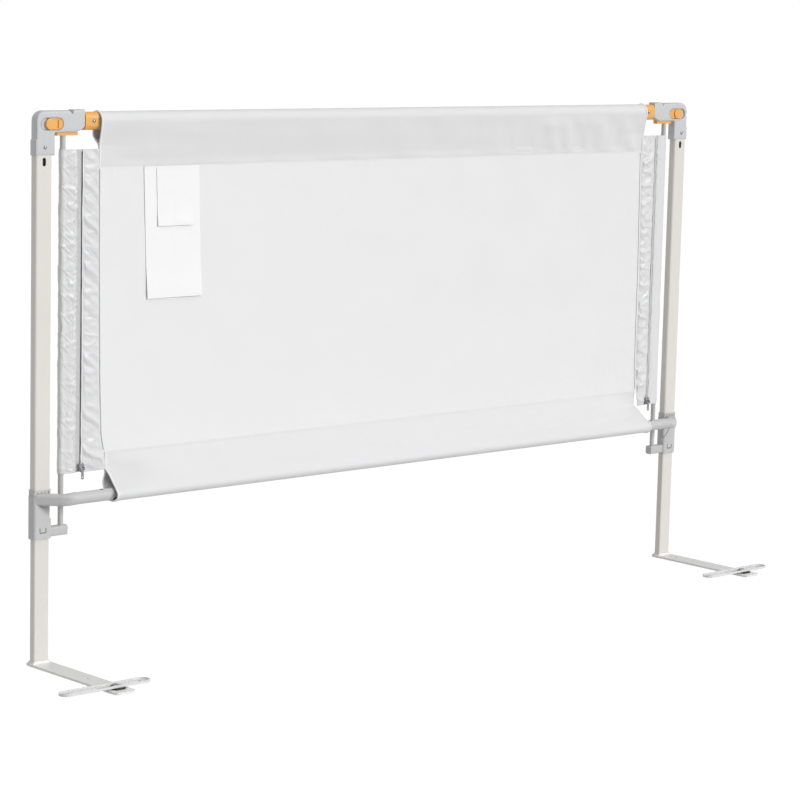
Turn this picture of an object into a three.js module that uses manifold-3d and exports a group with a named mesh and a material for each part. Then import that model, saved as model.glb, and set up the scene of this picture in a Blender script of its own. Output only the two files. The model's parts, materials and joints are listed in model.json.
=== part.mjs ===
// Bed guard rail with two L-shaped legs and a net frame that slides down over them.
// Millimetres. X runs along the rail, -Y points towards the bed, Z is up from the floor.
// Each side is drawn as the left one: its origin is the upright's axis on the floor and
// +X points inward, to the middle of the rail. The right side is its mirror image.
import * as THREE from "three";
import { mergeVertices } from "three/addons/utils/BufferGeometryUtils.js";
import Module from "manifold-3d";

const wasm = await Module();
wasm.setup();

// Whole object
const span = 1500; // between the axes of the two uprights
const totalHeight = 900;
const guardBase = 209.5; // underside of the lower brackets, above the floor
const dropTravel = 180; // how far the net frame slides down
const seat = 0.3; // gap between pieces that touch
const overrun = 2; // how far a cutting tool runs past the material
const quarter = Math.PI / 2;

// Telescopic upright: the outer tube belongs to the net frame, the inner one to the leg
const outerWidth = 31.5;
const outerDepth = 15.5;
const outerCorner = 4;
const tubeWall = 0.9;
const slideGap = 0.3;
const innerWidth = outerWidth - 2 * (tubeWall + slideGap);
const innerDepth = outerDepth - 2 * (tubeWall + slideGap);
const innerCorner = outerCorner - tubeWall - slideGap;
const innerHidden = 22; // of the outer tube, still above the inner one when the frame is lowered

// Foot
const plateWidth = 38.8;
const plateThick = 3.5;
const plateBack = 12;
const plateReach = 238;
const plateCorner = 7;
const plateHole = 5.5;
const plateHoleFirst = 38;
const plateHoleSecond = 133;
const weldRise = 4;
const weldSpread = 3.4;
const weldLip = 0.8;

// Glide plug in the inner tube's upper end
const glideDepth = 18;
const glideCap = 3;

// Slotted anchor strip, clamped on the foot by one screw over a rubber pad
const stripSetback = 30; // from the foot's tip to the screw
const stripLength = 172;
const stripWidth = 24;
const stripHeight = 4;
const stripFloor = 2;
const stripRim = 2.2;
const stripSlot = 6.6;
const stripSlotInset = 17;
const stripOffset = 20; // the strip's middle lies this far to the left of its screw
const padWidth = 20;
const padDepth = 32;
const padThick = 2.2;
const padCorner = 3;
const screwShank = 5.4;
const screwGap = 0.4;
const screwHead = 12;
const screwHeadThick = 1.6;
const screwTip = 0.5; // the screw's end stays this far above the floor

// Moulded shell of the lower bracket, round the outer tube
const shellWall = 1.6;
const shellWidth = outerWidth + 2 * (shellWall + seat);
const shellDepth = outerDepth + 2 * (shellWall + seat);
const shellCorner = 5;

// Corner housing
const housingFront = -9.8;
const housingBack = 8.8;
const housingOuter = 15.6; // from the upright's axis to its outer face
const housingInner = 20.5; // and to the inner face of its leg
const armEndStep = 1.2; // the arm's end stands this much above the rest
const housingTop = totalHeight - armEndStep;
const armHeight = 35;
const armFloor = housingTop - armHeight;
const armReach = 78.6;
const armEndLength = 23.2;
const armNotchDepth = 5;
const armNotchWidth = 6;
const armNotchLean = 1.4;
const armChamferLength = 11;
const armChamferRise = 4.5;
const legDrop = 36; // of the housing's leg below the arm
const legFloor = armFloor - legDrop;
const housingCorner = 16;
const insideCorner = 3;
const housingEdge = 4.4;
const bandHeight = 25;
const bandStep = 1.8; // the band round the tube's end stands out this far
const bandRoof = 2.2; // the outer tube ends this far below the band's top

// Lock slider in its pill-shaped recess on the housing's front
const recessHeight = 18.9;
const recessLength = 42.7;
const recessStart = -7.5;
const recessDepth = 2.4;
const recessRise = 14.2; // of its axis above the arm's underside
const sliderGap = 0.3;
const sliderTravel = 8;
const sliderBase = 1.6;
const sliderButton = 22;
const sliderButtonRise = 2.8;
const sliderButtonEdge = 0.9;
const sliderGroove = 2.6;
const sliderRampRise = 1.8;
const sliderRampMargin = 2.5;

// Trigger under the arm, with the release rod that it pulls up
const triggerStart = 24.8;
const triggerSetback = 11.3; // of its inner end, from the arm's end
const triggerLength = armReach - triggerSetback - triggerStart;
const triggerDepth = 11;
const triggerForward = 0.5; // of its middle, from the upright's middle plane
const triggerShow = 4.8; // what shows below the arm
const triggerInside = 7;
const triggerTravel = 4.5;
const triggerGap = 0.5;
const triggerCorner = 3;
const springRoom = 12;
const springRadius = 3.6;
const springWire = 0.8;
const springTurns = 3;
const rodOffset = 40.8;
const rodRadius = 4.6;
const rodWall = 1;
const rodPlug = 8; // solid length at its lower end
const rodSocket = 4; // of the rod inside the trigger

// Orange socket between the housing and the top rail
const socketHeight = 29.4;
const socketDepth = 20;
const socketCorner = 10;
const socketShow = 27.4;
const socketSpigot = 6;
const socketSpigotInset = 2;
const socketPlug = 24; // of the part inside the rail
const socketWall = 2;
const socketScrewPlace = 16.2; // from the arm's end
const railDrop = 18.6; // of the top rail's axis below the total height
const railAxis = totalHeight - railDrop;

// Top rail, an oval tube
const railHeight = 28.2;
const railDepth = 18.4;
const railCorner = 9.2;
const railWall = 1.2;

// Small dome screws
const domeRadius = 3;
const domeRise = 1.5;
const domeShank = 1.5;
const domeShankGap = 0.4;
const domeLength = 4.2;
const housingScrewRise = 13; // above the housing leg's end

// Sight slot in the outer tube
const sightWidth = 6.4;
const sightHeight = 13.6;
const sightDrop = 3.2; // below the housing leg's end

// Lower bracket
const bracketHeight = 71;
const tubeStop = 22; // the outer tube ends this far above the bracket's underside
const collarHeight = 9.2;
const collarStep = 0.5; // the collar's faces lie this far inside the bracket's
const collarNotch = 2.2;
const collarNotchHeight = 4.2;
const collarNotchPitch = 7;
const collarNotchCount = 4;
const snapWidth = 13;
const snapHeight = 9;
const snapRise = 9.5;
const snapGroove = 1.5;
const snapDepth = 1.6;
const reliefRise = 28; // of the relief's lowest point above the bracket's underside
const reliefShares = [[-0.62, 1], [0.1, 0.66], [0.72, 0.24], [1.1, 0]];
const reliefDepth = 9;

// Diagonal arm of the lower bracket, with the round socket of the bottom rail
const lowRailRise = 67.5; // of the bottom rail's axis above the bracket's underside
const lowRailForward = 41;
const lowRailRadius = 8;
const elbowInset = 29;
const elbowRootInset = -9.5;
const elbowRootForward = 2;
const elbowWidth = 18;
const elbowHeight = 18.5;
const elbowDrop = 2; // of the arm's middle below the bottom rail's axis
const elbowCorner = 5;
const cupRadius = 10.2;
const cupReach = 111;
const cupLipLength = 4;
const cupLipRise = 0.6;
const cupFloor = 46;
const cupScrewInset = 19;
const cupScrewSink = 1.2;

// Small arm with the latch bolt and the rod's cam end
const guideReach = 50.2;
const guideRise = 1.5;
const guideHeight = 16.5;
const guideDepth = 14.4;
const guideCorner = 4;
const boltSide = 8;
const boltGap = 0.3;
const boltNose = 0.4; // from the inner tube's face
const boltTail = 45.4;
const boltChamfer = 1.2;
const camSlope = 0.5; // millimetres of bolt for each millimetre of rod
const camThick = 3;
const camWidth = 3.2;
const camReach = 6;
const strikeGap = 0.6;

// Fabric
const clothWall = 1.3;
const clothPlane = -7.25; // of the net, in front of the uprights' middle plane
const netThick = 1.5;
const sleeveInset = armReach + 2 * seat + socketShow; // from the upright to the cloth's side edge
const topSeamDrop = 92.5; // below the total height
const topLoopDepth = 30;
const topLoopHeight = railHeight + 2 * (seat + clothWall);
const topLoopForward = 1;
const lowSeamRise = 132; // above the lower bracket's underside
const lowLoopDepth = 34;
const lowLoopForward = 3; // of its middle, in front of the bottom rail's axis
const lowLoopGap = 3; // between the bracket's cup and the loop's end
const lowLoopHeight = 23;
const seamThick = 2.6;
const loopApexShare = 0.12; // where the two layers part, from the seam to the rail
const loopOpenShare = 0.88; // of a quarter turn, where each layer leaves its rail
const panelTopDrop = 62.5; // of the side panel below the total height
const panelBottomRise = 102; // above the lower bracket's underside
const panelInner = sleeveInset - seat;
const panelEnd = 2;
const panelFold = 1.3;
const panelRodGap = 0.5;
const panelWrapShare = -0.3; // of a quarter turn, where the cloth leaves the rod at the back
const panelFoldShares = [[0.1, 0], [0.2, 1], [0.3, 0.1], [0.36, 0], [0.66, 0], [0.75, 1], [0.86, 0.1], [0.95, 0.8]];

// Zip on each side panel
const zipSetback = 33.6; // of its middle, from the cloth's side edge
const zipInset = sleeveInset - zipSetback;
const tapeWidth = 17;
const tapeThick = 1;
const chainWidth = 5;
const chainRise = 1.3;
const zipBottomTrim = 1.5;
const sliderTall = 14;
const sliderWide = 10;
const sliderDeep = 2.6;
const zipPlace = 0.5; // of the slider's lower end above the tape's lower end
const earWide = 1.6;
const earTall = 5;
const earDeep = 3.4;
const earRise = 5;
const pullPin = 0.8;
const pullPinGap = 0.3;
const pullWidth = 5;
const pullThick = 1.1;
const pullLength = 18;
const pullEye = 1.3;

// Blank sewn label, two layers
const labelSetback = 90.4; // of its left edge, from the cloth's side edge
const labelInset = sleeveInset + labelSetback;
const labelWidth = 114;
const labelLength = 218;
const labelThick = 0.8;
const labelTop = 1; // below the seam
const labelLeanShare = 0.037; // of its length, how far it leans along the rail as it hangs
const tagWidth = 74;
const tagLength = 96;
const tagThick = 0.6;
const tagInset = 25;
const tagTop = 3;

// Steps on curves, as counts
const fineSteps = 6;
const roundSteps = 4;
const cornerSteps = 2;

// Colours and finishes
function finish(color, roughness, metalness) {
  return new THREE.MeshStandardMaterial({ color, roughness, metalness });
}
const greyPlastic = finish(0xb2b2b2, 0.55, 0);
const orangePlastic = finish(0xeba546, 0.45, 0);
const paintedSteel = finish(0xd6d1c9, 0.45, 0.3);
const brightSteel = finish(0xc9c9c9, 0.3, 0.9);
const blackRubber = finish(0x1c1c1c, 0.85, 0);
const clothWhite = finish(0xdcdcdc, 0.9, 0);
const netWhite = finish(0xe8e8e8, 0.9, 0);
const labelWhite = finish(0xf4f4f4, 0.8, 0);

// Solids: geometry becomes a manifold solid to be joined or cut, and goes back again
function solidOf(geometry) {
  geometry.deleteAttribute("normal");
  geometry.deleteAttribute("uv");
  const merged = mergeVertices(geometry);
  const vertProperties = new Float32Array(merged.attributes.position.array);
  const triVerts = new Uint32Array(merged.index.array);
  return new wasm.Manifold(new wasm.Mesh({ numProp: 3, vertProperties, triVerts }));
}

function geometryOf(solid) {
  const mesh = solid.getMesh();
  const geometry = new THREE.BufferGeometry();
  geometry.setAttribute("position", new THREE.BufferAttribute(mesh.vertProperties, 3));
  geometry.setIndex(new THREE.BufferAttribute(mesh.triVerts, 1));
  geometry.computeVertexNormals();
  return geometry;
}

function join(first, ...others) {
  return geometryOf(others.reduce((sum, other) => sum.add(solidOf(other)), solidOf(first)));
}

function cut(first, ...others) {
  return geometryOf(others.reduce((rest, other) => rest.subtract(solidOf(other)), solidOf(first)));
}

// Outlines
function roundedRect(width, height, corner, x = 0, y = 0) {
  const right = x + width / 2 - corner;
  const left = x - width / 2 + corner;
  const top = y + height / 2 - corner;
  const bottom = y - height / 2 + corner;
  const shape = new THREE.Shape();
  shape.absarc(right, top, corner, 0, quarter);
  shape.absarc(left, top, corner, quarter, 2 * quarter);
  shape.absarc(left, bottom, corner, 2 * quarter, 3 * quarter);
  shape.absarc(right, bottom, corner, 3 * quarter, 4 * quarter);
  return shape;
}

function circle(radius, x = 0, y = 0) {
  const shape = new THREE.Shape();
  shape.absarc(x, y, radius, 0, 4 * quarter);
  return shape;
}

function polygon(points) {
  return new THREE.Shape(points.map(([x, y]) => new THREE.Vector2(x, y)));
}

function ring(outer, inner) {
  outer.holes.push(inner);
  return outer;
}

// Prisms along each axis. Along Y the outline is the front view, in X and Z.
// Along X it is the view from the end, in Y and Z.
const alongX = new THREE.Matrix4().makeBasis(
  new THREE.Vector3(0, 1, 0), new THREE.Vector3(0, 0, 1), new THREE.Vector3(1, 0, 0));
const alongY = new THREE.Matrix4().makeBasis(
  new THREE.Vector3(1, 0, 0), new THREE.Vector3(0, 0, 1), new THREE.Vector3(0, -1, 0));

function prism(shape, from, to, steps = cornerSteps) {
  const depth = to - from;
  const geometry = new THREE.ExtrudeGeometry(shape, { depth, bevelEnabled: false, curveSegments: steps });
  return geometry.translate(0, 0, from);
}

function prismX(shape, from, to, steps = cornerSteps) {
  return prism(shape, from, to, steps).applyMatrix4(alongX);
}

function prismY(shape, back, front, steps = cornerSteps) {
  return prism(shape, -back, -front, steps).applyMatrix4(alongY);
}

// A prism along Y whose front and back edges are rounded off
function softPrismY(shape, back, front, edge, steps = cornerSteps) {
  const options = {
    depth: back - front - 2 * edge,
    bevelThickness: edge,
    bevelSize: edge,
    bevelOffset: -edge,
    bevelSegments: 2,
    curveSegments: steps,
  };
  return new THREE.ExtrudeGeometry(shape, options).translate(0, 0, edge - back).applyMatrix4(alongY);
}

// A rounded block that narrows from its foot to its top
function taperedBlock(width, depth, corner, from, to, narrowing) {
  const geometry = prism(roundedRect(width, depth, corner), from, to);
  const place = geometry.attributes.position;
  const middle = (from + to) / 2;
  for (let i = 0; i < place.count; i += 1) {
    if (place.getZ(i) > middle) {
      place.setX(i, place.getX(i) * (1 - (2 * narrowing) / width));
      place.setY(i, place.getY(i) * (1 - (2 * narrowing) / depth));
    }
  }
  return geometry;
}

function tube(width, depth, corner, wall, from, to) {
  const inside = roundedRect(width - 2 * wall, depth - 2 * wall, corner - wall);
  return prism(ring(roundedRect(width, depth, corner), inside), from, to);
}

// A dome-headed screw that looks along -Y, its head seated at the face
function domeScrew(x, face, z) {
  const head = new THREE.Vector2(domeRadius, domeRise);
  const profile = [new THREE.Vector2(0, -domeLength), new THREE.Vector2(domeShank, -domeLength),
    new THREE.Vector2(domeShank, 0), new THREE.Vector2(head.x, 0)];
  for (let i = 1; i <= roundSteps; i += 1) {
    const angle = (quarter * i) / roundSteps;
    profile.push(new THREE.Vector2(head.x * Math.cos(angle), head.y * Math.sin(angle)));
  }
  profile[profile.length - 1].x = 0;
  const screw = new THREE.LatheGeometry(profile, 3 * roundSteps);
  return screw.rotateX(2 * quarter).translate(x, face, z);
}

// Leg
const tubeFloor = plateThick + seat;
const outerFloor = guardBase + tubeStop;
const outerTop = legFloor + bandHeight - bandRoof;
const innerTop = outerTop - dropTravel - innerHidden;
const stripY = stripSetback - plateReach;

function footPlate() {
  const length = plateReach + plateBack;
  const plate = prism(roundedRect(plateWidth, length, plateCorner, 0, plateBack - length / 2), 0, plateThick);
  const weldWidth = innerWidth + 2 * weldSpread;
  const weldDepth = innerDepth + 2 * weldSpread;
  const weld = taperedBlock(weldWidth, weldDepth, innerCorner, plateThick / 2, plateThick + weldRise,
    weldSpread - weldLip);
  const socket = prism(
    roundedRect(innerWidth + 2 * seat, innerDepth + 2 * seat, innerCorner + seat),
    plateThick, plateThick + weldRise + overrun);
  const holes = [plateHoleFirst, plateHoleSecond].map((reach) =>
    prism(circle(plateHole / 2, 0, -reach), -overrun, plateThick + overrun, roundSteps));
  const screwHole = prism(circle(screwShank / 2 + screwGap, 0, stripY), -overrun, plateThick + overrun, roundSteps);
  return cut(join(plate, weld), socket, screwHole, ...holes);
}

function innerTube() {
  const body = tube(innerWidth, innerDepth, innerCorner, tubeWall, tubeFloor, innerTop);
  const strike = boltSide + 2 * strikeGap;
  const window = prismX(roundedRect(strike, strike, strikeGap, 0, boltZ), innerWidth / 2 - 2 * tubeWall,
    innerWidth / 2 + overrun);
  return cut(body, window);
}

function tubeGlide() {
  const plugWidth = innerWidth - 2 * (tubeWall + seat);
  const plugDepth = innerDepth - 2 * (tubeWall + seat);
  const top = innerTop + seat;
  const plug = prism(roundedRect(plugWidth, plugDepth, innerCorner - tubeWall), top - glideDepth, top);
  const cap = prism(roundedRect(innerWidth, innerDepth, innerCorner), top, top + glideCap);
  return join(plug, cap);
}

const stripZ = plateThick + padThick + 2 * seat;

function anchorStrip() {
  const outline = roundedRect(stripLength, stripWidth, stripWidth / 2);
  const recess = roundedRect(stripLength - 2 * stripRim, stripWidth - 2 * stripRim, stripWidth / 2 - stripRim);
  const slotLength = stripLength - 2 * stripSlotInset;
  const slot = roundedRect(slotLength, stripSlot, stripSlot / 2);
  return cut(
    prism(outline, 0, stripHeight, roundSteps),
    prism(recess, stripFloor, stripHeight + overrun, roundSteps),
    prism(slot, -overrun, stripHeight + overrun, roundSteps));
}

function stripPad() {
  const hole = circle(screwShank / 2 + screwGap);
  return prism(ring(roundedRect(padWidth, padDepth, padCorner), hole), 0, padThick, roundSteps);
}

function stripScrew() {
  const under = stripZ + stripFloor + seat;
  const profile = [[0, screwTip], [screwShank / 2, screwTip], [screwShank / 2, under], [screwHead / 2, under],
    [screwHead / 2, under + screwHeadThick / 2], [screwHead / 3, under + screwHeadThick],
    [0, under + screwHeadThick]];
  const points = profile.map(([radius, z]) => new THREE.Vector2(radius, z));
  return new THREE.LatheGeometry(points, 4 * roundSteps).rotateX(quarter);
}

// Upright and corner housing
const tubeBoreWidth = outerWidth + 2 * seat;
const tubeBoreDepth = outerDepth + 2 * seat;
const shellFront = -shellDepth / 2;
const housingScrewZ = legFloor + housingScrewRise;
const recessZ = armFloor + recessRise;
const recessMiddle = recessStart + recessLength / 2;
const triggerMiddle = triggerStart + triggerLength / 2;
const pocketTop = armFloor + triggerInside + springRoom;

function outerTube() {
  const body = tube(outerWidth, outerDepth, outerCorner, tubeWall, outerFloor, outerTop);
  const sightMiddle = legFloor - sightDrop - sightHeight / 2;
  const sight = prismY(roundedRect(sightWidth, sightHeight, sightWidth / 2, 0, sightMiddle),
    -outerDepth / 2 + 2 * tubeWall, -outerDepth / 2 - overrun, roundSteps);
  const pilot = prismY(circle(domeShank + domeShankGap, 0, housingScrewZ),
    -outerDepth / 2 + 2 * tubeWall, -outerDepth / 2 - overrun, roundSteps);
  return cut(body, sight, pilot);
}

function housingOutline() {
  const left = -housingOuter;
  const right = housingInner;
  const notch = armReach - armEndLength;
  const shape = new THREE.Shape();
  shape.moveTo(left - bandStep, legFloor);
  shape.lineTo(right, legFloor);
  shape.lineTo(right, armFloor - insideCorner);
  shape.absarc(right + insideCorner, armFloor - insideCorner, insideCorner, 2 * quarter, quarter, true);
  shape.lineTo(armReach - armChamferLength - armChamferRise, armFloor);
  shape.lineTo(armReach - armChamferRise, armFloor + armChamferRise);
  shape.lineTo(armReach, armFloor + 2 * armChamferRise);
  shape.lineTo(armReach, totalHeight);
  shape.lineTo(notch, totalHeight);
  shape.lineTo(notch - armNotchLean, housingTop - armNotchDepth);
  shape.lineTo(notch - armNotchWidth, housingTop);
  shape.absarc(left + housingCorner, housingTop - housingCorner, housingCorner, quarter, 2 * quarter);
  shape.lineTo(left, legFloor + bandHeight + bandStep);
  shape.lineTo(left - bandStep, legFloor + bandHeight);
  return shape;
}

function cornerHousing() {
  const body = softPrismY(housingOutline(), housingBack, housingFront, housingEdge, roundSteps);
  const bore = prism(roundedRect(tubeBoreWidth, tubeBoreDepth, outerCorner + seat), legFloor - overrun,
    outerTop + seat);
  const recess = prismY(roundedRect(recessLength, recessHeight, recessHeight / 2, recessMiddle, recessZ),
    housingFront + recessDepth, housingFront - overrun, roundSteps);
  const pocketLength = triggerLength + 2 * triggerGap;
  const pocketDepth = triggerDepth + 2 * triggerGap;
  const pocket = prism(
    roundedRect(pocketLength, pocketDepth, triggerCorner + triggerGap, triggerMiddle, -triggerForward),
    armFloor - overrun, pocketTop);
  const socket = prismX(
    roundedRect(socketDepth - 2 * (socketSpigotInset - seat), socketHeight - 2 * (socketSpigotInset - seat),
      socketCorner - socketSpigotInset + seat, 0, railAxis),
    armReach - socketSpigot - seat, armReach + overrun, roundSteps);
  const pilot = prismY(circle(domeShank + domeShankGap, 0, housingScrewZ), 0, housingFront - overrun, roundSteps);
  return cut(body, bore, recess, pocket, socket, pilot);
}

function lockSlider() {
  const length = recessLength - sliderTravel - 2 * sliderGap;
  const height = recessHeight - 2 * sliderGap;
  const start = recessStart + sliderTravel + sliderGap;
  const back = housingFront + recessDepth - seat;
  const front = back - sliderBase;
  const outline = roundedRect(length, height, height / 2, start + length / 2, recessZ);
  const base = prismY(outline, back, front, roundSteps);
  const button = softPrismY(
    roundedRect(sliderButton, height, height / 2 - sliderGap, start + sliderButton / 2, recessZ),
    back - seat, front - sliderButtonRise, sliderButtonEdge, roundSteps);
  const rampStart = start + sliderButton + sliderGroove;
  const rampEnd = start + length - sliderRampMargin;
  const ramp = prism(
    polygon([[rampStart, front + seat], [rampEnd, front + seat], [rampStart, front - sliderRampRise]]),
    recessZ - height / 2 + sliderRampMargin, recessZ + height / 2 - sliderRampMargin);
  return join(base, button, ramp);
}

function trigger() {
  const bottom = armFloor - triggerShow;
  const top = armFloor + triggerInside;
  const outline = roundedRect(triggerLength, triggerDepth, triggerCorner, triggerMiddle, -triggerForward);
  const body = prism(outline, bottom, top);
  const socket = prism(circle(rodRadius + seat, rodOffset, 0), bottom - overrun, bottom + rodSocket + seat, fineSteps);
  return cut(body, socket);
}

class Helix extends THREE.Curve {
  constructor(radius, height, turns) {
    super();
    this.radius = radius;
    this.height = height;
    this.turns = turns;
  }

  getPoint(t, target = new THREE.Vector3()) {
    const angle = 4 * quarter * this.turns * t;
    return target.set(this.radius * Math.cos(angle), this.radius * Math.sin(angle), this.height * t);
  }
}

function triggerSpring() {
  const floor = armFloor + triggerInside + seat + springWire;
  const height = springRoom - 2 * (seat + springWire);
  const coil = new THREE.ExtrudeGeometry(circle(springWire), {
    extrudePath: new Helix(springRadius, height, springTurns),
    steps: 2 * roundSteps * springTurns,
    curveSegments: cornerSteps,
  });
  return coil.translate(triggerMiddle, -triggerForward, floor);
}

const guideFloor = guardBase + guideRise;
const guideTop = guideFloor + guideHeight;
const boltZ = guideFloor + guideHeight / 2;

// The cam is a leaning tongue: as the rod rises, it draws the bolt out of the inner tube
function camOutline(grow) {
  const half = camWidth / 2 + grow;
  const reach = camReach + grow;
  const lean = camSlope * reach;
  return polygon([
    [rodOffset + lean - half, boltZ - reach], [rodOffset + lean + half, boltZ - reach],
    [rodOffset - lean + half, boltZ + reach], [rodOffset - lean - half, boltZ + reach]]);
}

function releaseRod() {
  const rodFloor = boltZ + boltSide / 2 + 2 * boltGap + triggerGap;
  const rodTop = armFloor - triggerShow + rodSocket;
  const rod = prism(ring(circle(rodRadius, rodOffset, 0), circle(rodRadius - rodWall, rodOffset, 0)), rodFloor, rodTop,
    fineSteps);
  const plug = prism(circle(rodRadius - rodWall / 2, rodOffset, 0), rodFloor, rodFloor + rodPlug, fineSteps);
  const cam = prismY(camOutline(0), camThick / 2, -camThick / 2);
  return join(rod, plug, cam);
}

function latchBolt() {
  const nose = innerWidth / 2 + boltNose;
  const half = boltSide / 2;
  const outline = polygon([[nose, boltZ - half + boltChamfer], [nose + boltChamfer, boltZ - half],
    [boltTail, boltZ - half], [boltTail, boltZ + half], [nose + boltChamfer, boltZ + half],
    [nose, boltZ + half - boltChamfer]]);
  const slotReach = camThick / 2 + boltGap;
  return cut(prismY(outline, half, -half), prismY(camOutline(boltGap), slotReach, -slotReach));
}

// Lower bracket
const bracketTop = guardBase + bracketHeight;
const lowRailZ = guardBase + lowRailRise;

const armRoot = new THREE.Vector2(elbowRootInset, -elbowRootForward);
const armCorner = new THREE.Vector2(elbowInset, -lowRailForward);
const armTurn = armCorner.clone().sub(armRoot).angle() - 4 * quarter;

// A block on one side of the elbow's mitre plane, which cuts an arm off there
function mitreBlock(from, to) {
  const block = prismX(polygon([[-elbowWidth, -elbowHeight], [elbowWidth, -elbowHeight], [elbowWidth, elbowHeight],
    [-elbowWidth, elbowHeight]]), from, to);
  return block.rotateZ(armTurn / 2).translate(elbowInset, -lowRailForward, lowRailZ);
}

function diagonalArm() {
  const length = armRoot.distanceTo(armCorner) + elbowWidth;
  const beam = prismX(roundedRect(elbowWidth, elbowHeight, elbowCorner), 0, length, roundSteps);
  beam.rotateZ(armTurn).translate(armRoot.x, armRoot.y, lowRailZ - elbowDrop);
  return cut(beam, mitreBlock(0, 2 * elbowWidth));
}

function cupArm() {
  const arm = prismX(circle(cupRadius, -lowRailForward, lowRailZ), elbowInset - cupRadius, cupReach, fineSteps);
  return cut(arm, mitreBlock(-2 * elbowWidth, -seat));
}

function reliefCut() {
  const half = shellWidth / 2;
  const floor = guardBase + reliefRise;
  const rise = lowRailZ - elbowHeight / 2 - floor;
  const curve = reliefShares.map(([across, up]) => [half * across, floor + rise * up]);
  const outline = polygon([...curve, [half + overrun, floor + rise]].reverse());
  return prismY(outline, shellFront + reliefDepth, shellFront - overrun);
}

function snapCut() {
  const outer = roundedRect(snapWidth, snapHeight, snapGroove, 0, guardBase + snapRise + snapHeight / 2);
  const tab = roundedRect(snapWidth - 2 * snapGroove, snapHeight, snapGroove / 2, 0,
    guardBase + snapRise + snapGroove + snapHeight / 2);
  const depth = shellFront + snapDepth;
  return geometryOf(solidOf(prismY(outer, depth, shellFront - overrun)).subtract(
    solidOf(prismY(tab, depth + overrun, shellFront - 2 * overrun))));
}

function lowerBracket() {
  const body = prism(roundedRect(shellWidth, shellDepth, shellCorner), guardBase, bracketTop, roundSteps);
  const guide = prismX(
    roundedRect(guideDepth, guideHeight, guideCorner, 0, boltZ), 0, guideReach, cornerSteps);
  const lip = prismX(circle(cupRadius + cupLipRise, -lowRailForward, lowRailZ), cupReach - cupLipLength, cupReach,
    fineSteps);
  const outerBore = prism(roundedRect(tubeBoreWidth, tubeBoreDepth, outerCorner + seat), outerFloor - seat,
    bracketTop + overrun);
  const collarRoom = prism(roundedRect(shellWidth + 2 * seat, shellDepth + 2 * seat, shellCorner + seat),
    bracketTop, bracketTop + collarHeight);
  const innerBore = prism(
    roundedRect(innerWidth + 2 * slideGap, innerDepth + 2 * slideGap, innerCorner + slideGap),
    guardBase - overrun, outerFloor + overrun);
  const railBore = prismX(circle(lowRailRadius + seat, -lowRailForward, lowRailZ), cupFloor, cupReach + overrun,
    fineSteps);
  const channel = boltSide + 2 * boltGap;
  const boltEnd = boltTail + triggerTravel * camSlope + triggerGap;
  const boltBore = prismX(roundedRect(channel, channel, boltGap, 0, boltZ), 0, boltEnd);
  const rodBore = prism(circle(rodRadius + boltGap, rodOffset, 0), boltZ, guideTop + overrun, fineSteps);
  const camRoom = camThick + 4 * boltGap;
  const camWell = prism(roundedRect(boltEnd - rodOffset + camWidth, camRoom, boltGap,
    (boltEnd + rodOffset - camWidth) / 2, 0), boltZ - camReach - boltGap, boltZ);
  const screwX = cupReach - cupScrewInset;
  const screwSpot = prism(circle(domeRadius + seat, screwX, -lowRailForward),
    lowRailZ + cupRadius - cupScrewSink - seat, lowRailZ + 2 * cupRadius, roundSteps);
  const screwHole = prism(circle(domeShank + domeShankGap, screwX, -lowRailForward), lowRailZ,
    lowRailZ + 2 * cupRadius, roundSteps);
  const solid = join(body, guide, diagonalArm(), cupArm(), lip);
  return cut(solid, outerBore, collarRoom, innerBore, railBore, boltBore, rodBore, camWell, screwSpot, screwHole,
    reliefCut(), snapCut());
}

function bracketCollar() {
  const floor = bracketTop + seat;
  const top = floor + collarHeight;
  const outline = roundedRect(shellWidth - 2 * collarStep, shellDepth - 2 * collarStep, shellCorner - collarStep);
  const body = prism(ring(outline, roundedRect(tubeBoreWidth, tubeBoreDepth, outerCorner + seat)), floor, top);
  const middle = (floor + top) / 2;
  const first = -(collarNotchCount - 1) / 2;
  const notches = Array.from({ length: collarNotchCount }, (_, i) => {
    const x = (first + i) * collarNotchPitch;
    return prismY(roundedRect(collarNotch, collarNotchHeight, collarNotch / 4, x, middle),
      shellFront + shellWall + seat, shellFront - overrun);
  });
  return cut(body, ...notches);
}

function cupScrew() {
  const screw = domeScrew(0, 0, 0).rotateX(-quarter);
  return screw.translate(cupReach - cupScrewInset, -lowRailForward, lowRailZ + cupRadius - cupScrewSink);
}

function socketSleeve() {
  const oval = (inset) => roundedRect(socketDepth - 2 * inset, socketHeight - 2 * inset, socketCorner - inset, 0,
    railAxis);
  const start = armReach + seat;
  const shown = prismX(oval(0), start, start + socketShow, roundSteps);
  const spigot = prismX(oval(socketSpigotInset), start - socketSpigot, start + overrun, roundSteps);
  const plugGap = railWall + seat;
  const plugOutline = (inset) => roundedRect(railDepth - 2 * inset, railHeight - 2 * inset, railCorner - inset, 0,
    railAxis);
  const end = start + socketShow;
  const plug = prismX(plugOutline(plugGap), end - overrun, end + socketPlug, roundSteps);
  const bore = prismX(plugOutline(plugGap + socketWall), start, end + socketPlug + overrun, roundSteps);
  const screwHole = prismY(circle(domeShank + domeShankGap, armReach + socketScrewPlace, railAxis), 0,
    -socketDepth, roundSteps);
  return cut(join(shown, spigot, plug), bore, screwHole);
}

// Side panel: cloth round the release rod, flat behind the zip, with a few upright folds
const panelTop = totalHeight - panelTopDrop;
const panelFloor = guardBase + panelBottomRise;

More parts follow.
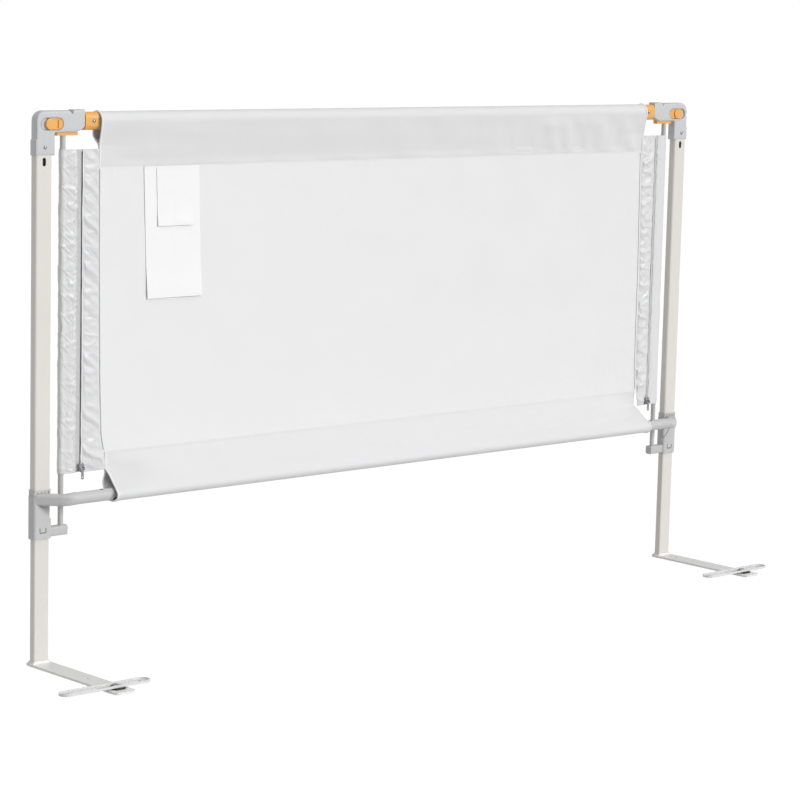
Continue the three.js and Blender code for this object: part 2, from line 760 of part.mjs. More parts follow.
function sidePanel() {
  const around = rodRadius + panelRodGap + clothWall;
  const front = clothPlane - panelEnd / 2;
  const shape = new THREE.Shape();
  shape.absarc(rodOffset, 0, around, panelWrapShare * quarter, 3 * quarter);
  const reach = panelInner - rodOffset;
  for (const [along, depth] of panelFoldShares) {
    shape.lineTo(rodOffset + reach * along, front - panelFold * depth);
  }
  shape.lineTo(panelInner, front);
  shape.lineTo(panelInner, front + panelEnd);
  return prism(ring(shape, circle(rodRadius + panelRodGap, rodOffset, 0)), panelFloor, panelTop, roundSteps);
}

// Zip
const tapeFront = clothPlane - panelEnd / 2 - seat;
const tapeFloor = panelFloor + zipBottomTrim;

function zipTape() {
  const front = tapeFront - tapeThick;
  const tape = prism(roundedRect(tapeWidth, tapeThick, tapeThick / 4, zipInset, front + tapeThick / 2), tapeFloor,
    panelTop);
  const chain = prism(roundedRect(chainWidth, chainRise + tapeThick, tapeThick / 4, zipInset,
    front + tapeThick / 2 - chainRise / 2), tapeFloor, panelTop);
  return join(tape, chain);
}

function zipSlider() {
  const tape = tapeFront - tapeThick;
  const back = tape - seat;
  const front = back - chainRise - sliderDeep;
  const block = softPrismY(roundedRect(sliderWide, sliderTall, sliderWide / 4, 0, sliderTall / 2), back, front,
    sliderDeep / 4);
  const groove = prism(roundedRect(chainWidth + 2 * seat, 2 * (chainRise + seat), seat / 2, 0, back), -overrun,
    sliderTall + overrun);
  const earSpan = pullWidth + 2 * seat + earWide;
  const ears = [-1, 1].map((side) => prismX(
    roundedRect(earDeep, earTall, earDeep / 4, front - earDeep / 2 + sliderDeep / 4, earRise),
    (side * earSpan) / 2 - earWide / 2, (side * earSpan) / 2 + earWide / 2));
  const pinHole = prismX(circle(pullPin + pullPinGap, front - earDeep / 2, earRise), -earSpan, earSpan, roundSteps);
  return cut(join(cut(block, groove), ...ears), pinHole);
}

function zipPull() {
  const front = tapeFront - tapeThick - seat - chainRise - sliderDeep;
  const y = front - earDeep / 2;
  const pin = prismX(circle(pullPin, y, earRise), -pullWidth / 2 - seat - earWide, pullWidth / 2 + seat + earWide,
    roundSteps);
  const tab = roundedRect(pullWidth, pullLength, pullWidth / 4, 0, earRise + pullPin - pullLength / 2);
  const eye = circle(pullEye, 0, earRise + 2 * pullPin - pullLength + 2 * pullEye);
  const blade = prismY(ring(tab, eye), y + pullThick / 2, y - pullThick / 2, roundSteps);
  return join(pin, blade);
}

// Shared rails and cloth, drawn from the middle of the rail
const halfSpan = span / 2;

function topRail() {
  const half = halfSpan - sleeveInset;
  const inside = roundedRect(railDepth - 2 * railWall, railHeight - 2 * railWall, railCorner - railWall, 0, railAxis);
  return prismX(ring(roundedRect(railDepth, railHeight, railCorner, 0, railAxis), inside), -half, half, roundSteps);
}

function bottomRail() {
  const half = halfSpan - cupFloor - seat;
  const middle = [-lowRailForward, lowRailZ];
  const body = prismX(ring(circle(lowRailRadius, ...middle), circle(lowRailRadius - railWall, ...middle)), -half,
    half, fineSteps);
  const pilot = prism(circle(domeShank + domeShankGap, halfSpan - cupReach + cupScrewInset, -lowRailForward),
    lowRailZ, lowRailZ + 2 * lowRailRadius, roundSteps);
  return cut(body, pilot, mirrored(pilot.clone()));
}

// A cloth loop seen from its end: round one way, drawn together to a seam the other way
function loopOutline(y, z, halfDepth, halfHeight, seamZ) {
  const up = Math.sign(z - seamZ);
  const toSeam = Math.atan2(seamZ - z, clothPlane - y);
  const start = toSeam + loopOpenShare * quarter;
  const end = toSeam + (4 - loopOpenShare) * quarter;
  const outline = (inset, seamY, edgeZ, half) => {
    const shape = new THREE.Shape();
    shape.absellipse(y, z, halfDepth - inset, halfHeight - inset, start, end);
    shape.lineTo(seamY - up * half, edgeZ);
    shape.lineTo(seamY + up * half, edgeZ);
    return shape;
  };
  const apexY = clothPlane + (y - clothPlane) * loopApexShare;
  const apexZ = seamZ + (z - seamZ) * loopApexShare;
  return ring(outline(0, clothPlane, seamZ, seamThick / 2), outline(clothWall, apexY, apexZ, clothWall / 4));
}

const topSeam = totalHeight - topSeamDrop;
const lowSeam = guardBase + lowSeamRise;

function topSleeve() {
  const half = halfSpan - sleeveInset;
  const loop = loopOutline(-topLoopForward, railAxis, topLoopDepth / 2, topLoopHeight / 2, topSeam);
  return prismX(loop, -half, half, fineSteps);
}

function bottomSleeve() {
  const half = halfSpan - cupReach - lowLoopGap;
  const middle = -lowRailForward - lowLoopForward;
  const loop = loopOutline(middle, lowRailZ, lowLoopDepth / 2, lowLoopHeight / 2, lowSeam);
  return prismX(loop, -half, half, fineSteps);
}

function netPanel() {
  const half = halfSpan - sleeveInset;
  const outline = roundedRect(2 * half, topSeam - lowSeam - 2 * seat, netThick, 0, (topSeam + lowSeam) / 2);
  return prismY(outline, clothPlane + netThick / 2, clothPlane - netThick / 2);
}

// The label's two layers, drawn from its top left corner
function blankLabel() {
  const front = clothPlane - netThick / 2 - seat;
  const layer = (left, top, width, length) => {
    const start = left - top * labelLeanShare;
    const end = start + length * labelLeanShare;
    return polygon([[end, top - length], [end + width, top - length], [start + width, top], [start, top]]);
  };
  const card = prismY(layer(0, 0, labelWidth, labelLength), front, front - labelThick);
  const tag = prismY(layer(tagInset, -tagTop, tagWidth, tagLength), front - labelThick / 2,
    front - labelThick - tagThick);
  return join(card, tag);
}

// Assembly
function mirrored(geometry) {
  const flipped = geometry.applyMatrix4(new THREE.Matrix4().makeScale(-1, 1, 1));
  const index = flipped.index ? Array.from(flipped.index.array)
    : Array.from({ length: flipped.attributes.position.count }, (_, i) => i);
  for (let i = 0; i < index.length; i += 3) {
    [index[i + 1], index[i + 2]] = [index[i + 2], index[i + 1]];
  }
  flipped.setIndex(index);
  flipped.computeVertexNormals();
  return flipped;
}

function piece(name, geometry, material, x = 0, y = 0, z = 0) {
  const mesh = new THREE.Mesh(geometry, material);
  mesh.name = name;
  mesh.position.set(x, y, z);
  return mesh;
}

// Pieces of one side that are mirror images of the other side's
const handedPieces = [
  ["foot_plate", footPlate, paintedSteel],
  ["inner_tube", innerTube, paintedSteel],
  ["tube_glide", tubeGlide, blackRubber],
  ["outer_tube", outerTube, paintedSteel],
  ["corner_housing", cornerHousing, greyPlastic],
  ["housing_screw", () => domeScrew(0, housingFront - seat, housingScrewZ), brightSteel],
  ["lock_slider", lockSlider, orangePlastic],
  ["trigger", trigger, orangePlastic],
  ["trigger_spring", triggerSpring, brightSteel],
  ["release_rod", releaseRod, paintedSteel],
  ["socket_sleeve", socketSleeve, orangePlastic],
  ["socket_screw", () => domeScrew(armReach + socketScrewPlace, -socketDepth / 2 - seat, railAxis), brightSteel],
  ["lower_bracket", lowerBracket, greyPlastic],
  ["bracket_collar", bracketCollar, greyPlastic],
  ["latch_bolt", latchBolt, brightSteel],
  ["cup_screw", cupScrew, blackRubber],
  ["side_panel", sidePanel, clothWhite],
  ["zip_tape", zipTape, clothWhite],
];

function sideOf(name, sign) {
  const side = new THREE.Group();
  side.position.x = sign * halfSpan;
  for (const [base, make, material] of handedPieces) {
    const geometry = sign < 0 ? make() : mirrored(make());
    side.add(piece(`${base}_${name}`, geometry, material));
  }
  side.add(piece(`strip_pad_${name}`, stripPad(), blackRubber, 0, stripY, plateThick + seat));
  side.add(piece(`anchor_strip_${name}`, anchorStrip(), paintedSteel, -stripOffset, stripY, stripZ));
  side.add(piece(`strip_screw_${name}`, stripScrew(), brightSteel, 0, stripY, 0));
  side.add(piece(`zip_slider_${name}`, zipSlider(), brightSteel, -sign * zipInset, 0, tapeFloor + zipPlace));
  side.add(piece(`zip_pull_${name}`, zipPull(), brightSteel, -sign * zipInset, 0, tapeFloor + zipPlace));
  return side;
}

const group = new THREE.Group();
// The origin is the middle of the object's box on the floor
group.position.set(stripOffset, (plateReach - plateBack) / 2, 0);
group.add(sideOf("left", -1), sideOf("right", 1));
group.add(piece("top_rail", topRail(), paintedSteel));
group.add(piece("bottom_rail", bottomRail(), paintedSteel));
group.add(piece("top_sleeve", topSleeve(), clothWhite));
group.add(piece("bottom_sleeve", bottomSleeve(), clothWhite));
group.add(piece("net_panel", netPanel(), netWhite));
group.add(piece("blank_label", blankLabel(), labelWhite, labelInset - halfSpan, 0, topSeam - labelTop));

export default group;
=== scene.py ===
import json
import math
import random
from bisect import bisect_right

import bpy
from mathutils import Matrix, Vector, noise

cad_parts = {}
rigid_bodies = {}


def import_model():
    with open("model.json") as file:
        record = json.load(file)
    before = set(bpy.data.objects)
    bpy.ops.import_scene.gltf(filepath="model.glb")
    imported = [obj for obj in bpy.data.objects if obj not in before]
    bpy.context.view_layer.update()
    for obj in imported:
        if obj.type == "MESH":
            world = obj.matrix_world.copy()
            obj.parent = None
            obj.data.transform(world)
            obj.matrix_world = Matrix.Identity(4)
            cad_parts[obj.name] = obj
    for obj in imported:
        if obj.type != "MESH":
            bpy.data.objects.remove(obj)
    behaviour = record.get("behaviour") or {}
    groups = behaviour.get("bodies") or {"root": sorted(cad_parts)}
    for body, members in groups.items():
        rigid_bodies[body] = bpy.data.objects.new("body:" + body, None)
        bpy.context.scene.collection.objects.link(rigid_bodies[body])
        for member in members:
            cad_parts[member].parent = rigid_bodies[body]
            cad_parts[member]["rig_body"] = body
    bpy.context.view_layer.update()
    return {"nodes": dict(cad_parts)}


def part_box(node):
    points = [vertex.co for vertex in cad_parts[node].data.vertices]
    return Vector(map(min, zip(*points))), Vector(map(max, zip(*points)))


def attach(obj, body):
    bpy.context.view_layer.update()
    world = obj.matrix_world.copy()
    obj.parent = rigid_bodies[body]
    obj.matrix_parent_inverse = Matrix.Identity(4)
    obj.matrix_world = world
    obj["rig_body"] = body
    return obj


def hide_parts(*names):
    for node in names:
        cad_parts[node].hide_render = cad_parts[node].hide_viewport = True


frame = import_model()

# Millimetres from a side's upright: u runs inward along the rail, -y towards the bed, z up from the floor
mm = 0.001
sides = ("left", "right")
uprightX = {"left": -0.730, "right": 0.770}
inward = {"left": 1, "right": -1}
uprightY = 0.113


def spot(side, u, y, z):
    return Vector((uprightX[side] + inward[side] * u * mm, uprightY + y * mm, z * mm))


def smooth(value, low, high):
    share = min(1, max(0, (value - low) / (high - low)))
    return share * share * (3 - 2 * share)


def ripple(x, y, z=0.0):
    return noise.noise(Vector((x, y, z)))


# Camera, at the photograph's viewing angle
camera = {
    "place": (-3.27381, -3.51713, 1.09424),
    "yaw": 42.51,
    "pitch": 8.34,
    "roll": 1.39,
    "focal": 2766.43 / 800,  # of the frame's width
    "sensor": 36,
}


def makeCamera():
    yaw, pitch, roll = (math.radians(camera[turn]) for turn in ("yaw", "pitch", "roll"))
    ahead = Vector((math.sin(yaw) * math.cos(pitch), math.cos(yaw) * math.cos(pitch), -math.sin(pitch)))
    right = Vector((math.cos(yaw), -math.sin(yaw), 0))
    up = right.cross(ahead)
    turnedRight = math.cos(roll) * right + math.sin(roll) * up
    turnedUp = math.cos(roll) * up - math.sin(roll) * right
    bpy.ops.object.camera_add(location=camera["place"])
    view = bpy.context.active_object
    view.name = "photoCamera"
    turned = Matrix((turnedRight, turnedUp, -ahead)).transposed().to_4x4()
    view.matrix_world = Matrix.Translation(camera["place"]) @ turned
    view.data.sensor_width = camera["sensor"]
    view.data.lens = camera["focal"] * camera["sensor"]
    view.data.clip_end = 60
    bpy.context.scene.camera = view


# Shader maths: a socket that adds and multiplies like a number
class Signal:
    def __init__(self, tree, socket):
        self.tree = tree
        self.socket = socket

    def joined(self, operation, first, second=None, clamp=False):
        step = self.tree.nodes.new("ShaderNodeMath")
        step.operation = operation
        step.use_clamp = clamp
        for slot, value in zip(step.inputs, (first, second)):
            if isinstance(value, Signal):
                self.tree.links.new(value.socket, slot)
            elif value is not None:
                slot.default_value = value
        return Signal(self.tree, step.outputs[0])

    def __add__(self, other):
        return self.joined("ADD", self, other)

    def __radd__(self, other):
        return self.joined("ADD", other, self)

    def __sub__(self, other):
        return self.joined("SUBTRACT", self, other)

    def __rsub__(self, other):
        return self.joined("SUBTRACT", other, self)

    def __mul__(self, other):
        return self.joined("MULTIPLY", self, other)

    def __rmul__(self, other):
        return self.joined("MULTIPLY", other, self)

    def wave(self):
        return self.joined("SINE", self)

    def held(self):
        return self.joined("ADD", self, 0, clamp=True)


class Finish:
    def __init__(self, name, **numbers):
        self.material = bpy.data.materials.new(name)
        self.material.use_nodes = True
        self.tree = self.material.node_tree
        self.shader = self.tree.nodes["Principled BSDF"]
        for socket, value in numbers.items():
            self.shader.inputs[socket.replace("_", " ")].default_value = value

    def add(self, kind, output=0, settings=None, **sockets):
        step = self.tree.nodes.new(f"ShaderNode{kind}")
        for key, value in (settings or {}).items():
            setattr(step, key, value)
        for key, value in sockets.items():
            slot = step.inputs[int(key[1:]) if key[0] == "i" and key[1:].isdigit() else key.replace("_", " ")]
            if isinstance(value, Signal):
                self.tree.links.new(value.socket, slot)
            else:
                slot.default_value = value
        return Signal(self.tree, step.outputs[output])

    def feed(self, **sockets):
        for key, value in sockets.items():
            self.tree.links.new(value.socket, self.shader.inputs[key.replace("_", " ")])
        return self.material

    def place(self, kind="Object", scale=(1, 1, 1)):
        return self.add("Mapping", Vector=self.add("TexCoord", output=kind), Scale=scale)

    def noise(self, where, scale, detail=2.0, roughness=0.5):
        return self.add("TexNoise", Vector=where, Scale=scale, Detail=detail, Roughness=roughness)

    def blend(self, share, first, second):
        return self.add("Mix", output=2, settings={"data_type": "RGBA"}, i0=share, i6=first, i7=second)

    def bump(self, height, strength, distance):
        return self.add("Bump", Height=height, Strength=strength, Distance=distance)

    def apart(self, where):
        return [self.add("SeparateXYZ", output=axis, Vector=where) for axis in "XYZ"]


def shade(red, green, blue, level=1.0):
    channels = [value / 255 for value in (red, green, blue)]
    straight = [c / 12.92 if c <= 0.04045 else ((c + 0.055) / 1.055) ** 2.4 for c in channels]
    return (*[min(1, c * level) for c in straight], 1)


moulded = {
    "grey": (197, 198, 200),
    # the housing's grey made a little darker for the brackets: painted shade
    "bracketShadedGrey": (191, 191, 191),
    # darker grey of the recess rim: painted shade of the groove line
    "rim": (158, 159, 161),
    # dark grey wire laid in the snap tab's groove: painted shade of the groove
    "snapGrooveShade": (104, 104, 105),
    "orange": (233, 173, 92),
    "black": (34, 34, 35),
    "cloudScale": 28,
    "grainScale": 1500,
    "grainDepth": 0.00012,
    "flowScale": (60, 60, 6),
}


def mouldedPlastic(name, colour, roughness, grain):
    made = Finish(name, Roughness=roughness, IOR=1.49)
    where = made.place()
    cloud = made.noise(where, moulded["cloudScale"])
    flow = made.noise(made.place(scale=moulded["flowScale"]), 1, 3)
    fine = made.noise(where, moulded["grainScale"], 3, 0.6)
    tone = (cloud * 0.6 + flow * 0.4).held()
    base = made.blend(tone, shade(*colour, 0.95), shade(*colour, 1.04))
    return made.feed(
        Base_Color=base,
        Roughness=(roughness - 0.06 + 0.12 * cloud + 0.04 * fine).held(),
        Normal=made.bump(fine, grain, moulded["grainDepth"]),
    )


coated = {
    "colour": (216, 213, 207),
    "rodColour": (192, 191, 188),
    "peelScale": 420,
    "peelDepth": 0.00015,
    "cloudScale": 9,
    "footColour": (227, 227, 225),
    "stripColour": (216, 216, 216),
    "scuffScale": (900, 900, 14),
}


# Powder coat: slight orange peel, faint scuffs along the tube
def paintedSteel(name, colour, wear=1):
    made = Finish(name, Roughness=0.42, IOR=1.5)
    where = made.place()
    peel = made.noise(where, coated["peelScale"], 1.5)
    cloud = made.noise(where, coated["cloudScale"])
    scuff = made.noise(made.place(scale=coated["scuffScale"]), 1, 2)
    rubbed = (((scuff - 0.66) * 6).held() * ((cloud - 0.45) * 4).held()).held() * wear
    base = made.blend(cloud, shade(*colour, 0.97), shade(*colour, 1.03))
    base = made.blend(rubbed * 0.35, base, shade(*colour, 0.86))
    return made.feed(
        Base_Color=base,
        Roughness=(0.36 + 0.1 * cloud + 0.08 * peel + 0.12 * rubbed).held(),
        Normal=made.bump(peel, 0.12, coated["peelDepth"]),
    )


plated = {"colour": (206, 207, 210), "spangleScale": 900, "brushScale": (2600, 2600, 120)}


# The level darkens a copy of the plating, to paint shade or dark reflections onto small parts
def platedSteel(name, paintedShadeLevel=1.0, roughness=0.3):
    made = Finish(name, Metallic=1.0, Roughness=roughness)
    where = made.place()
    spangle = made.add("TexVoronoi", output="Color", Vector=where, Scale=plated["spangleScale"])
    grey = made.add("RGBToBW", Color=spangle)
    brush = made.noise(made.place(scale=plated["brushScale"]), 1, 2)
    base = made.blend(grey, shade(*plated["colour"], 0.9 * paintedShadeLevel), shade(*plated["colour"], 1.05 * paintedShadeLevel))
    return made.feed(
        Base_Color=base,
        Roughness=(roughness - 0.05 + 0.1 * grey + 0.1 * brush).held(),
        Normal=made.bump(brush, 0.08, 0.0001),
    )


def softRubber():
    made = Finish("stripRubber", Roughness=0.8, IOR=1.5)
    where = made.place()
    speck = made.noise(where, 900, 4, 0.7)
    cloud = made.noise(where, 40)
    base = made.blend(cloud, shade(32, 32, 33), shade(52, 51, 50))
    return made.feed(
        Base_Color=base,
        Roughness=(0.7 + 0.2 * speck).held(),
        Normal=made.bump(speck, 0.25, 0.0002),
    )


woven = {"threadPitch": 0.45, "slubScale": 1400, "slubStretch": 30}


# Woven cloth on the piece's own UV map, which is in metres along and across it
def wovenCloth(name, colour, sheen, roughness, bumpiness):
    made = Finish(name, Roughness=roughness, Sheen_Weight=sheen, Sheen_Roughness=0.4, IOR=1.45)
    where = made.place("UV")
    across, along, _ = made.apart(where)
    turns = 2 * math.pi / (woven["threadPitch"] * mm)
    weave = (across * turns).wave() * (along * turns).wave()
    thin, long = woven["slubScale"], woven["slubScale"] / woven["slubStretch"]
    warp = made.noise(made.place("UV", (thin, long, 1)), 1, 2)
    weft = made.noise(made.place("UV", (long, thin, 1)), 1, 2)
    cloud = made.noise(where, 14, 3)
    thread = (warp * 0.5 + weft * 0.5 + weave * 0.12).held()
    base = made.blend(thread, shade(*colour, 0.94), shade(*colour, 1.04))
    base = made.blend(cloud * 0.4, base, shade(*colour, 0.95))
    return made.feed(
        Base_Color=base,
        Roughness=(roughness - 0.08 + 0.16 * thread).held(),
        Normal=made.bump(thread, bumpiness, 0.0003),
    )


knitted = {"pitchAcross": 0.95, "pitchAlong": 0.8, "holeEdge": 0.42, "colour": (236, 236, 237)}


# Knitted net: rows of small staggered holes
def knittedNet():
    made = Finish("knittedNet", Roughness=0.75, Sheen_Weight=0.2, Sheen_Roughness=0.5)
    where = made.place("UV")
    across, along, _ = made.apart(where)
    lattice = (across * (math.pi / (knitted["pitchAcross"] * mm))).wave() * (
        along * (math.pi / (knitted["pitchAlong"] * mm))
    ).wave()
    hole = ((lattice - knitted["holeEdge"]) * 6).held()
    cloud = made.noise(where, 11, 3)
    row = made.noise(made.place("UV", (6, 260, 1)), 1, 2)
    tone = (cloud * 0.6 + row * 0.4).held()
    base = made.blend(tone, shade(*knitted["colour"], 0.96), shade(*knitted["colour"], 1.03))
    return made.feed(
        Base_Color=base,
        Alpha=(1 - hole * 0.7).held(),
        Normal=made.bump(1 - hole, 0.3, 0.0003),
    )


finishes = {
    "grey": mouldedPlastic("greyMoulding", moulded["grey"], 0.5, 0.2),
    "bracketShadedGrey": mouldedPlastic("bracketMoulding", moulded["bracketShadedGrey"], 0.5, 0.2),
    "rim": mouldedPlastic("rimMoulding", moulded["rim"], 0.5, 0.2),
    "snapGrooveShade": mouldedPlastic("snapMoulding", moulded["snapGrooveShade"], 0.6, 0.2),
    "orange": mouldedPlastic("orangeMoulding", moulded["orange"], 0.38, 0.12),
    "black": mouldedPlastic("blackMoulding", moulded["black"], 0.45, 0.2),
    "painted": paintedSteel("powderCoat", coated["colour"]),
    "rodPaint": paintedSteel("rodCoat", coated["rodColour"]),
    "footPaint": paintedSteel("footCoat", coated["footColour"], 0),
    "stripPaint": paintedSteel("stripCoat", coated["stripColour"], 0),
    "plated": platedSteel("zincPlate"),
    # darker plating on the dome screws: painted shade of the recess round them
    "screwSteel": platedSteel("screwSteel", 0.5, 0.18),
    # darker plating on the zip slider and pull: painted dark reflections
    "zipMetal": platedSteel("zipMetal", 0.5, 0.2),
    # much darker plating on the zip teeth: painted shade of the gap the zip lies in
    "teeth": platedSteel("zipTeeth", 0.24, 0.45),
    "rubber": softRubber(),
    "sleeve": wovenCloth("sleeveCloth", (218, 218, 219), 0.15, 0.72, 0.25),
    "panel": wovenCloth("panelSatin", (216, 216, 217), 0.3, 0.36, 0.1),
    "tape": wovenCloth("zipTapeCloth", (193, 193, 193), 0.1, 0.8, 0.3),
    "hem": wovenCloth("hemBinding", (238, 238, 239), 0.2, 0.7, 0.3),
    "label": wovenCloth("labelSatin", (238, 238, 238), 0.1, 0.5, 0.08),
    "thread": wovenCloth("sewingThread", (228, 228, 230), 0.2, 0.6, 0.2),
    # grey thread of the net's side bindings: partly the thread's own grey, partly painted shade of the seam
    # line
    "seamShadeThread": wovenCloth("seamThread", (176, 177, 180), 0.1, 0.7, 0.2),
    "net": knittedNet(),
}
print("finishes made")


# Pieces
def clearSelection():
    bpy.ops.object.select_all(action="DESELECT")


def takeUp(piece):
    clearSelection()
    piece.select_set(True)
    bpy.context.view_layer.objects.active = piece


def editAll(*steps):
    bpy.ops.object.mode_set(mode="EDIT")
    bpy.ops.mesh.select_all(action="SELECT")
    for step in steps:
        step()
    bpy.ops.object.mode_set(mode="OBJECT")


def shaped(piece, kind, **settings):
    takeUp(piece)
    change = piece.modifiers.new(kind.lower(), kind)
    for key, value in settings.items():
        setattr(change, key, value)
    bpy.ops.object.modifier_apply(modifier=change.name)


def fresh(name, kind, **settings):
    clearSelection()
    getattr(bpy.ops.mesh, f"primitive_{kind}_add")(**settings)
    piece = bpy.context.active_object
    piece.name = piece.data.name = name
    return piece


# A piece built from its own points and faces
def meshed(name, vertices, faces):
    piece = fresh(name, "plane", size=1)
    piece.data.clear_geometry()
    piece.data.from_pydata(vertices, [], faces)
    return piece


def runLengths(points):
    lengths = [0.0]
    for start, end in zip(points, points[1:]):
        lengths.append(lengths[-1] + (end - start).length)
    return lengths


def settle(piece):
    takeUp(piece)
    bpy.ops.object.transform_apply(location=True, rotation=True, scale=True)


def turnOut(piece):
    takeUp(piece)
    editAll(lambda: bpy.ops.mesh.remove_doubles(threshold=1e-6), bpy.ops.mesh.normals_make_consistent)


def smoothed(piece, angle=32):
    takeUp(piece)
    bpy.ops.object.shade_smooth_by_angle(angle=math.radians(angle))


def handOver(piece, finish, body, slot, *stoodFor):
    piece.data.materials.clear()
    piece.data.materials.append(finishes[finish])
    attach(piece, body)
    if stoodFor:
        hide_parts(*stoodFor)
    return piece


def merged(name, pieces):
    clearSelection()
    for piece in pieces:
        piece.select_set(True)
    bpy.context.view_layer.objects.active = pieces[0]
    bpy.ops.object.join()
    pieces[0].name = pieces[0].data.name = name
    return pieces[0]


# Hard pieces: the CAD solid's own surface, merged, with its edges softened as moulding or paint leaves them
hardEdges = {
    "corner_housing": ("grey", "grey_plastic", 0.5),
    "lower_bracket": ("bracketShadedGrey", "grey_plastic", 0.25),
    "bracket_collar": ("bracketShadedGrey", "grey_plastic", 0.2),
    "lock_slider": ("orange", "orange_plastic", 0.25),
    "trigger": ("orange", "orange_plastic", 0.5),
    "socket_sleeve": ("orange", "orange_plastic", 0.4),
    "foot_plate": ("footPaint", "painted_steel", 0.4),
    "inner_tube": ("painted", "painted_steel", 0.15),
    "outer_tube": ("painted", "painted_steel", 0.15),
    "release_rod": ("rodPaint", "painted_steel", 0.2),
    "anchor_strip": ("stripPaint", "painted_steel", 0.3),
    "latch_bolt": ("plated", "bright_steel", 0.2),
    "strip_screw": ("plated", "bright_steel", 0.2),
    "housing_screw": ("screwSteel", "bright_steel", 0.0),
    "socket_screw": ("screwSteel", "bright_steel", 0.0),
    "cup_screw": ("black", "black_plastic", 0.0),
    "tube_glide": ("black", "black_plastic", 0.2),
    "strip_pad": ("rubber", "black_rubber", 0.4),
    "zip_slider": ("zipMetal", "bright_steel", 0.3),
    "zip_pull": ("zipMetal", "bright_steel", 0.2),
}
railEdge = 0.2
edges = {"mergeGap": 2e-6, "flatAngle": 0.4, "bevelAngle": 38, "sharpAngle": 34, "segments": 2}


# Lower bracket, by its upright: the moulded elbow between the diagonal arm and the round cup, the wall behind
# the relief and a dark grey wire in the snap tab's groove, painted shade of the groove
bracket = {
    "corner": (29, -41),
    "root": (-9.5, -2),
    "leg": 13,
    "cut": {"slack": 0.02, "front": -20, "half": 14},
    "sharpAngle": 40,
    "cupZ": 277,
    "armDrop": 2,
    "armSection": (4, 4.25, 5.1),  # half flats and corner radius
    "cupSection": (0, 0, 10.3),
    "elbowSteps": 16,
    "elbowSides": 32,
    "tube": (31.5, 15.5, 4),  # width, depth and corner radius
    "linerGap": 0.05,
    "linerWall": 0.18,
    "linerSides": 48,
    "liner": (232, 272),
    "snap": (13, 9, 1.5),  # width, height and groove
    "snapWire": 0.55,
    "snapFloor": 219,
    "snapFront": -9.4,
}


def bentArm(side):
    corner = Vector((*bracket["corner"], 0))
    arm = (corner - Vector((*bracket["root"], 0))).normalized()
    return corner, arm, corner - arm * bracket["leg"], corner + Vector((bracket["leg"], 0, 0))


# The CAD's mitred corner is cut off the bracket's surface, and the cuts are closed
def openedElbow(piece, side):
    corner, arm, start, end = bentArm(side)
    turned = Vector((inward[side] * arm.x, arm.y, 0))
    middle, cut = bracket["cupZ"], bracket["cut"]
    editAll(
        lambda: bpy.ops.mesh.bisect(plane_co=spot(side, start.x, start.y, middle), plane_no=turned),
        lambda: bpy.ops.mesh.select_all(action="SELECT"),
        lambda: bpy.ops.mesh.bisect(plane_co=spot(side, end.x, end.y, middle), plane_no=(1, 0, 0)),
        lambda: bpy.ops.mesh.select_all(action="DESELECT"),
    )
    for vertex in piece.data.vertices:
        u = (vertex.co.x - uprightX[side]) * inward[side] / mm
        y = (vertex.co.y - uprightY) / mm
        past = (Vector((u, y, 0)) - start).dot(arm)
        between = past > cut["slack"] and u < end.x - cut["slack"]
        vertex.select = between and y < cut["front"] and abs(vertex.co.z / mm - middle) < cut["half"]
    bpy.ops.object.mode_set(mode="EDIT")
    bpy.ops.mesh.delete(type="VERT")
    bpy.ops.mesh.select_all(action="SELECT")
    bpy.ops.mesh.fill_holes(sides=0)
    bpy.ops.object.mode_set(mode="OBJECT")


def makeElbow(side):
    corner, arm, start, end = bentArm(side)
    count = bracket["elbowSides"]
    vertices, faces = [], []
    for step in range(bracket["elbowSteps"] + 1):
        t = step / bracket["elbowSteps"]
        middle = start * (1 - t) ** 2 + corner * 2 * t * (1 - t) + end * t * t
        ahead = (arm * (1 - t) + Vector((1, 0, 0)) * t).normalized()
        across = Vector((-ahead.y, ahead.x, 0))
        share = smooth(t, 0, 1)
        sections = zip(bracket["armSection"], bracket["cupSection"])
        flatY, flatZ, radius = (a + (b - a) * share for a, b in sections)
        height = bracket["cupZ"] - bracket["armDrop"] * (1 - share)
        for number in range(count):
            angle = 2 * math.pi * (number + 0.5) / count
            sideways = math.copysign(flatY, math.cos(angle)) + radius * math.cos(angle)
            upward = math.copysign(flatZ, math.sin(angle)) + radius * math.sin(angle)
            point = middle + across * sideways
            vertices.append(spot(side, point.x, point.y, height + upward))
        if step:
            first = (step - 1) * count
            faces += [
                (first + n, first + (n + 1) % count, first + count + (n + 1) % count, first + count + n)
                for n in range(count)
            ]
    faces += [tuple(range(count)), tuple(range(len(vertices) - count, len(vertices)))]
    piece = meshed(f"bracket_elbow_{side}", vertices, faces)
    turnOut(piece)
    smoothed(piece, bracket["sharpAngle"])
    handOver(piece, "bracketShadedGrey", "guard_frame", "grey_plastic")


# The wall that closes the relief, close round the tube
def makeBracketWall(side):
    wide, deep, corner = bracket["tube"]
    low, high = bracket["liner"]
    reach = corner + bracket["linerGap"] + bracket["linerWall"] / 2
    count = bracket["linerSides"]
    ring = []
    for number in range(count):
        angle = 2 * math.pi * (number + 0.5) / count
        ring.append((
            math.copysign(wide / 2 - corner, math.cos(angle)) + reach * math.cos(angle),
            math.copysign(deep / 2 - corner, math.sin(angle)) + reach * math.sin(angle),
        ))
    vertices = [spot(side, u, y, z) for z in (low, high) for u, y in ring]
    faces = [(n, (n + 1) % count, count + (n + 1) % count, count + n) for n in range(count)]
    liner = meshed(f"bracket_wall_{side}", vertices, faces)
    shaped(liner, "SOLIDIFY", thickness=bracket["linerWall"] * mm, offset=0)
    turnOut(liner)
    smoothed(liner, bracket["sharpAngle"])
    handOver(liner, "bracketShadedGrey", "guard_frame", "grey_plastic")


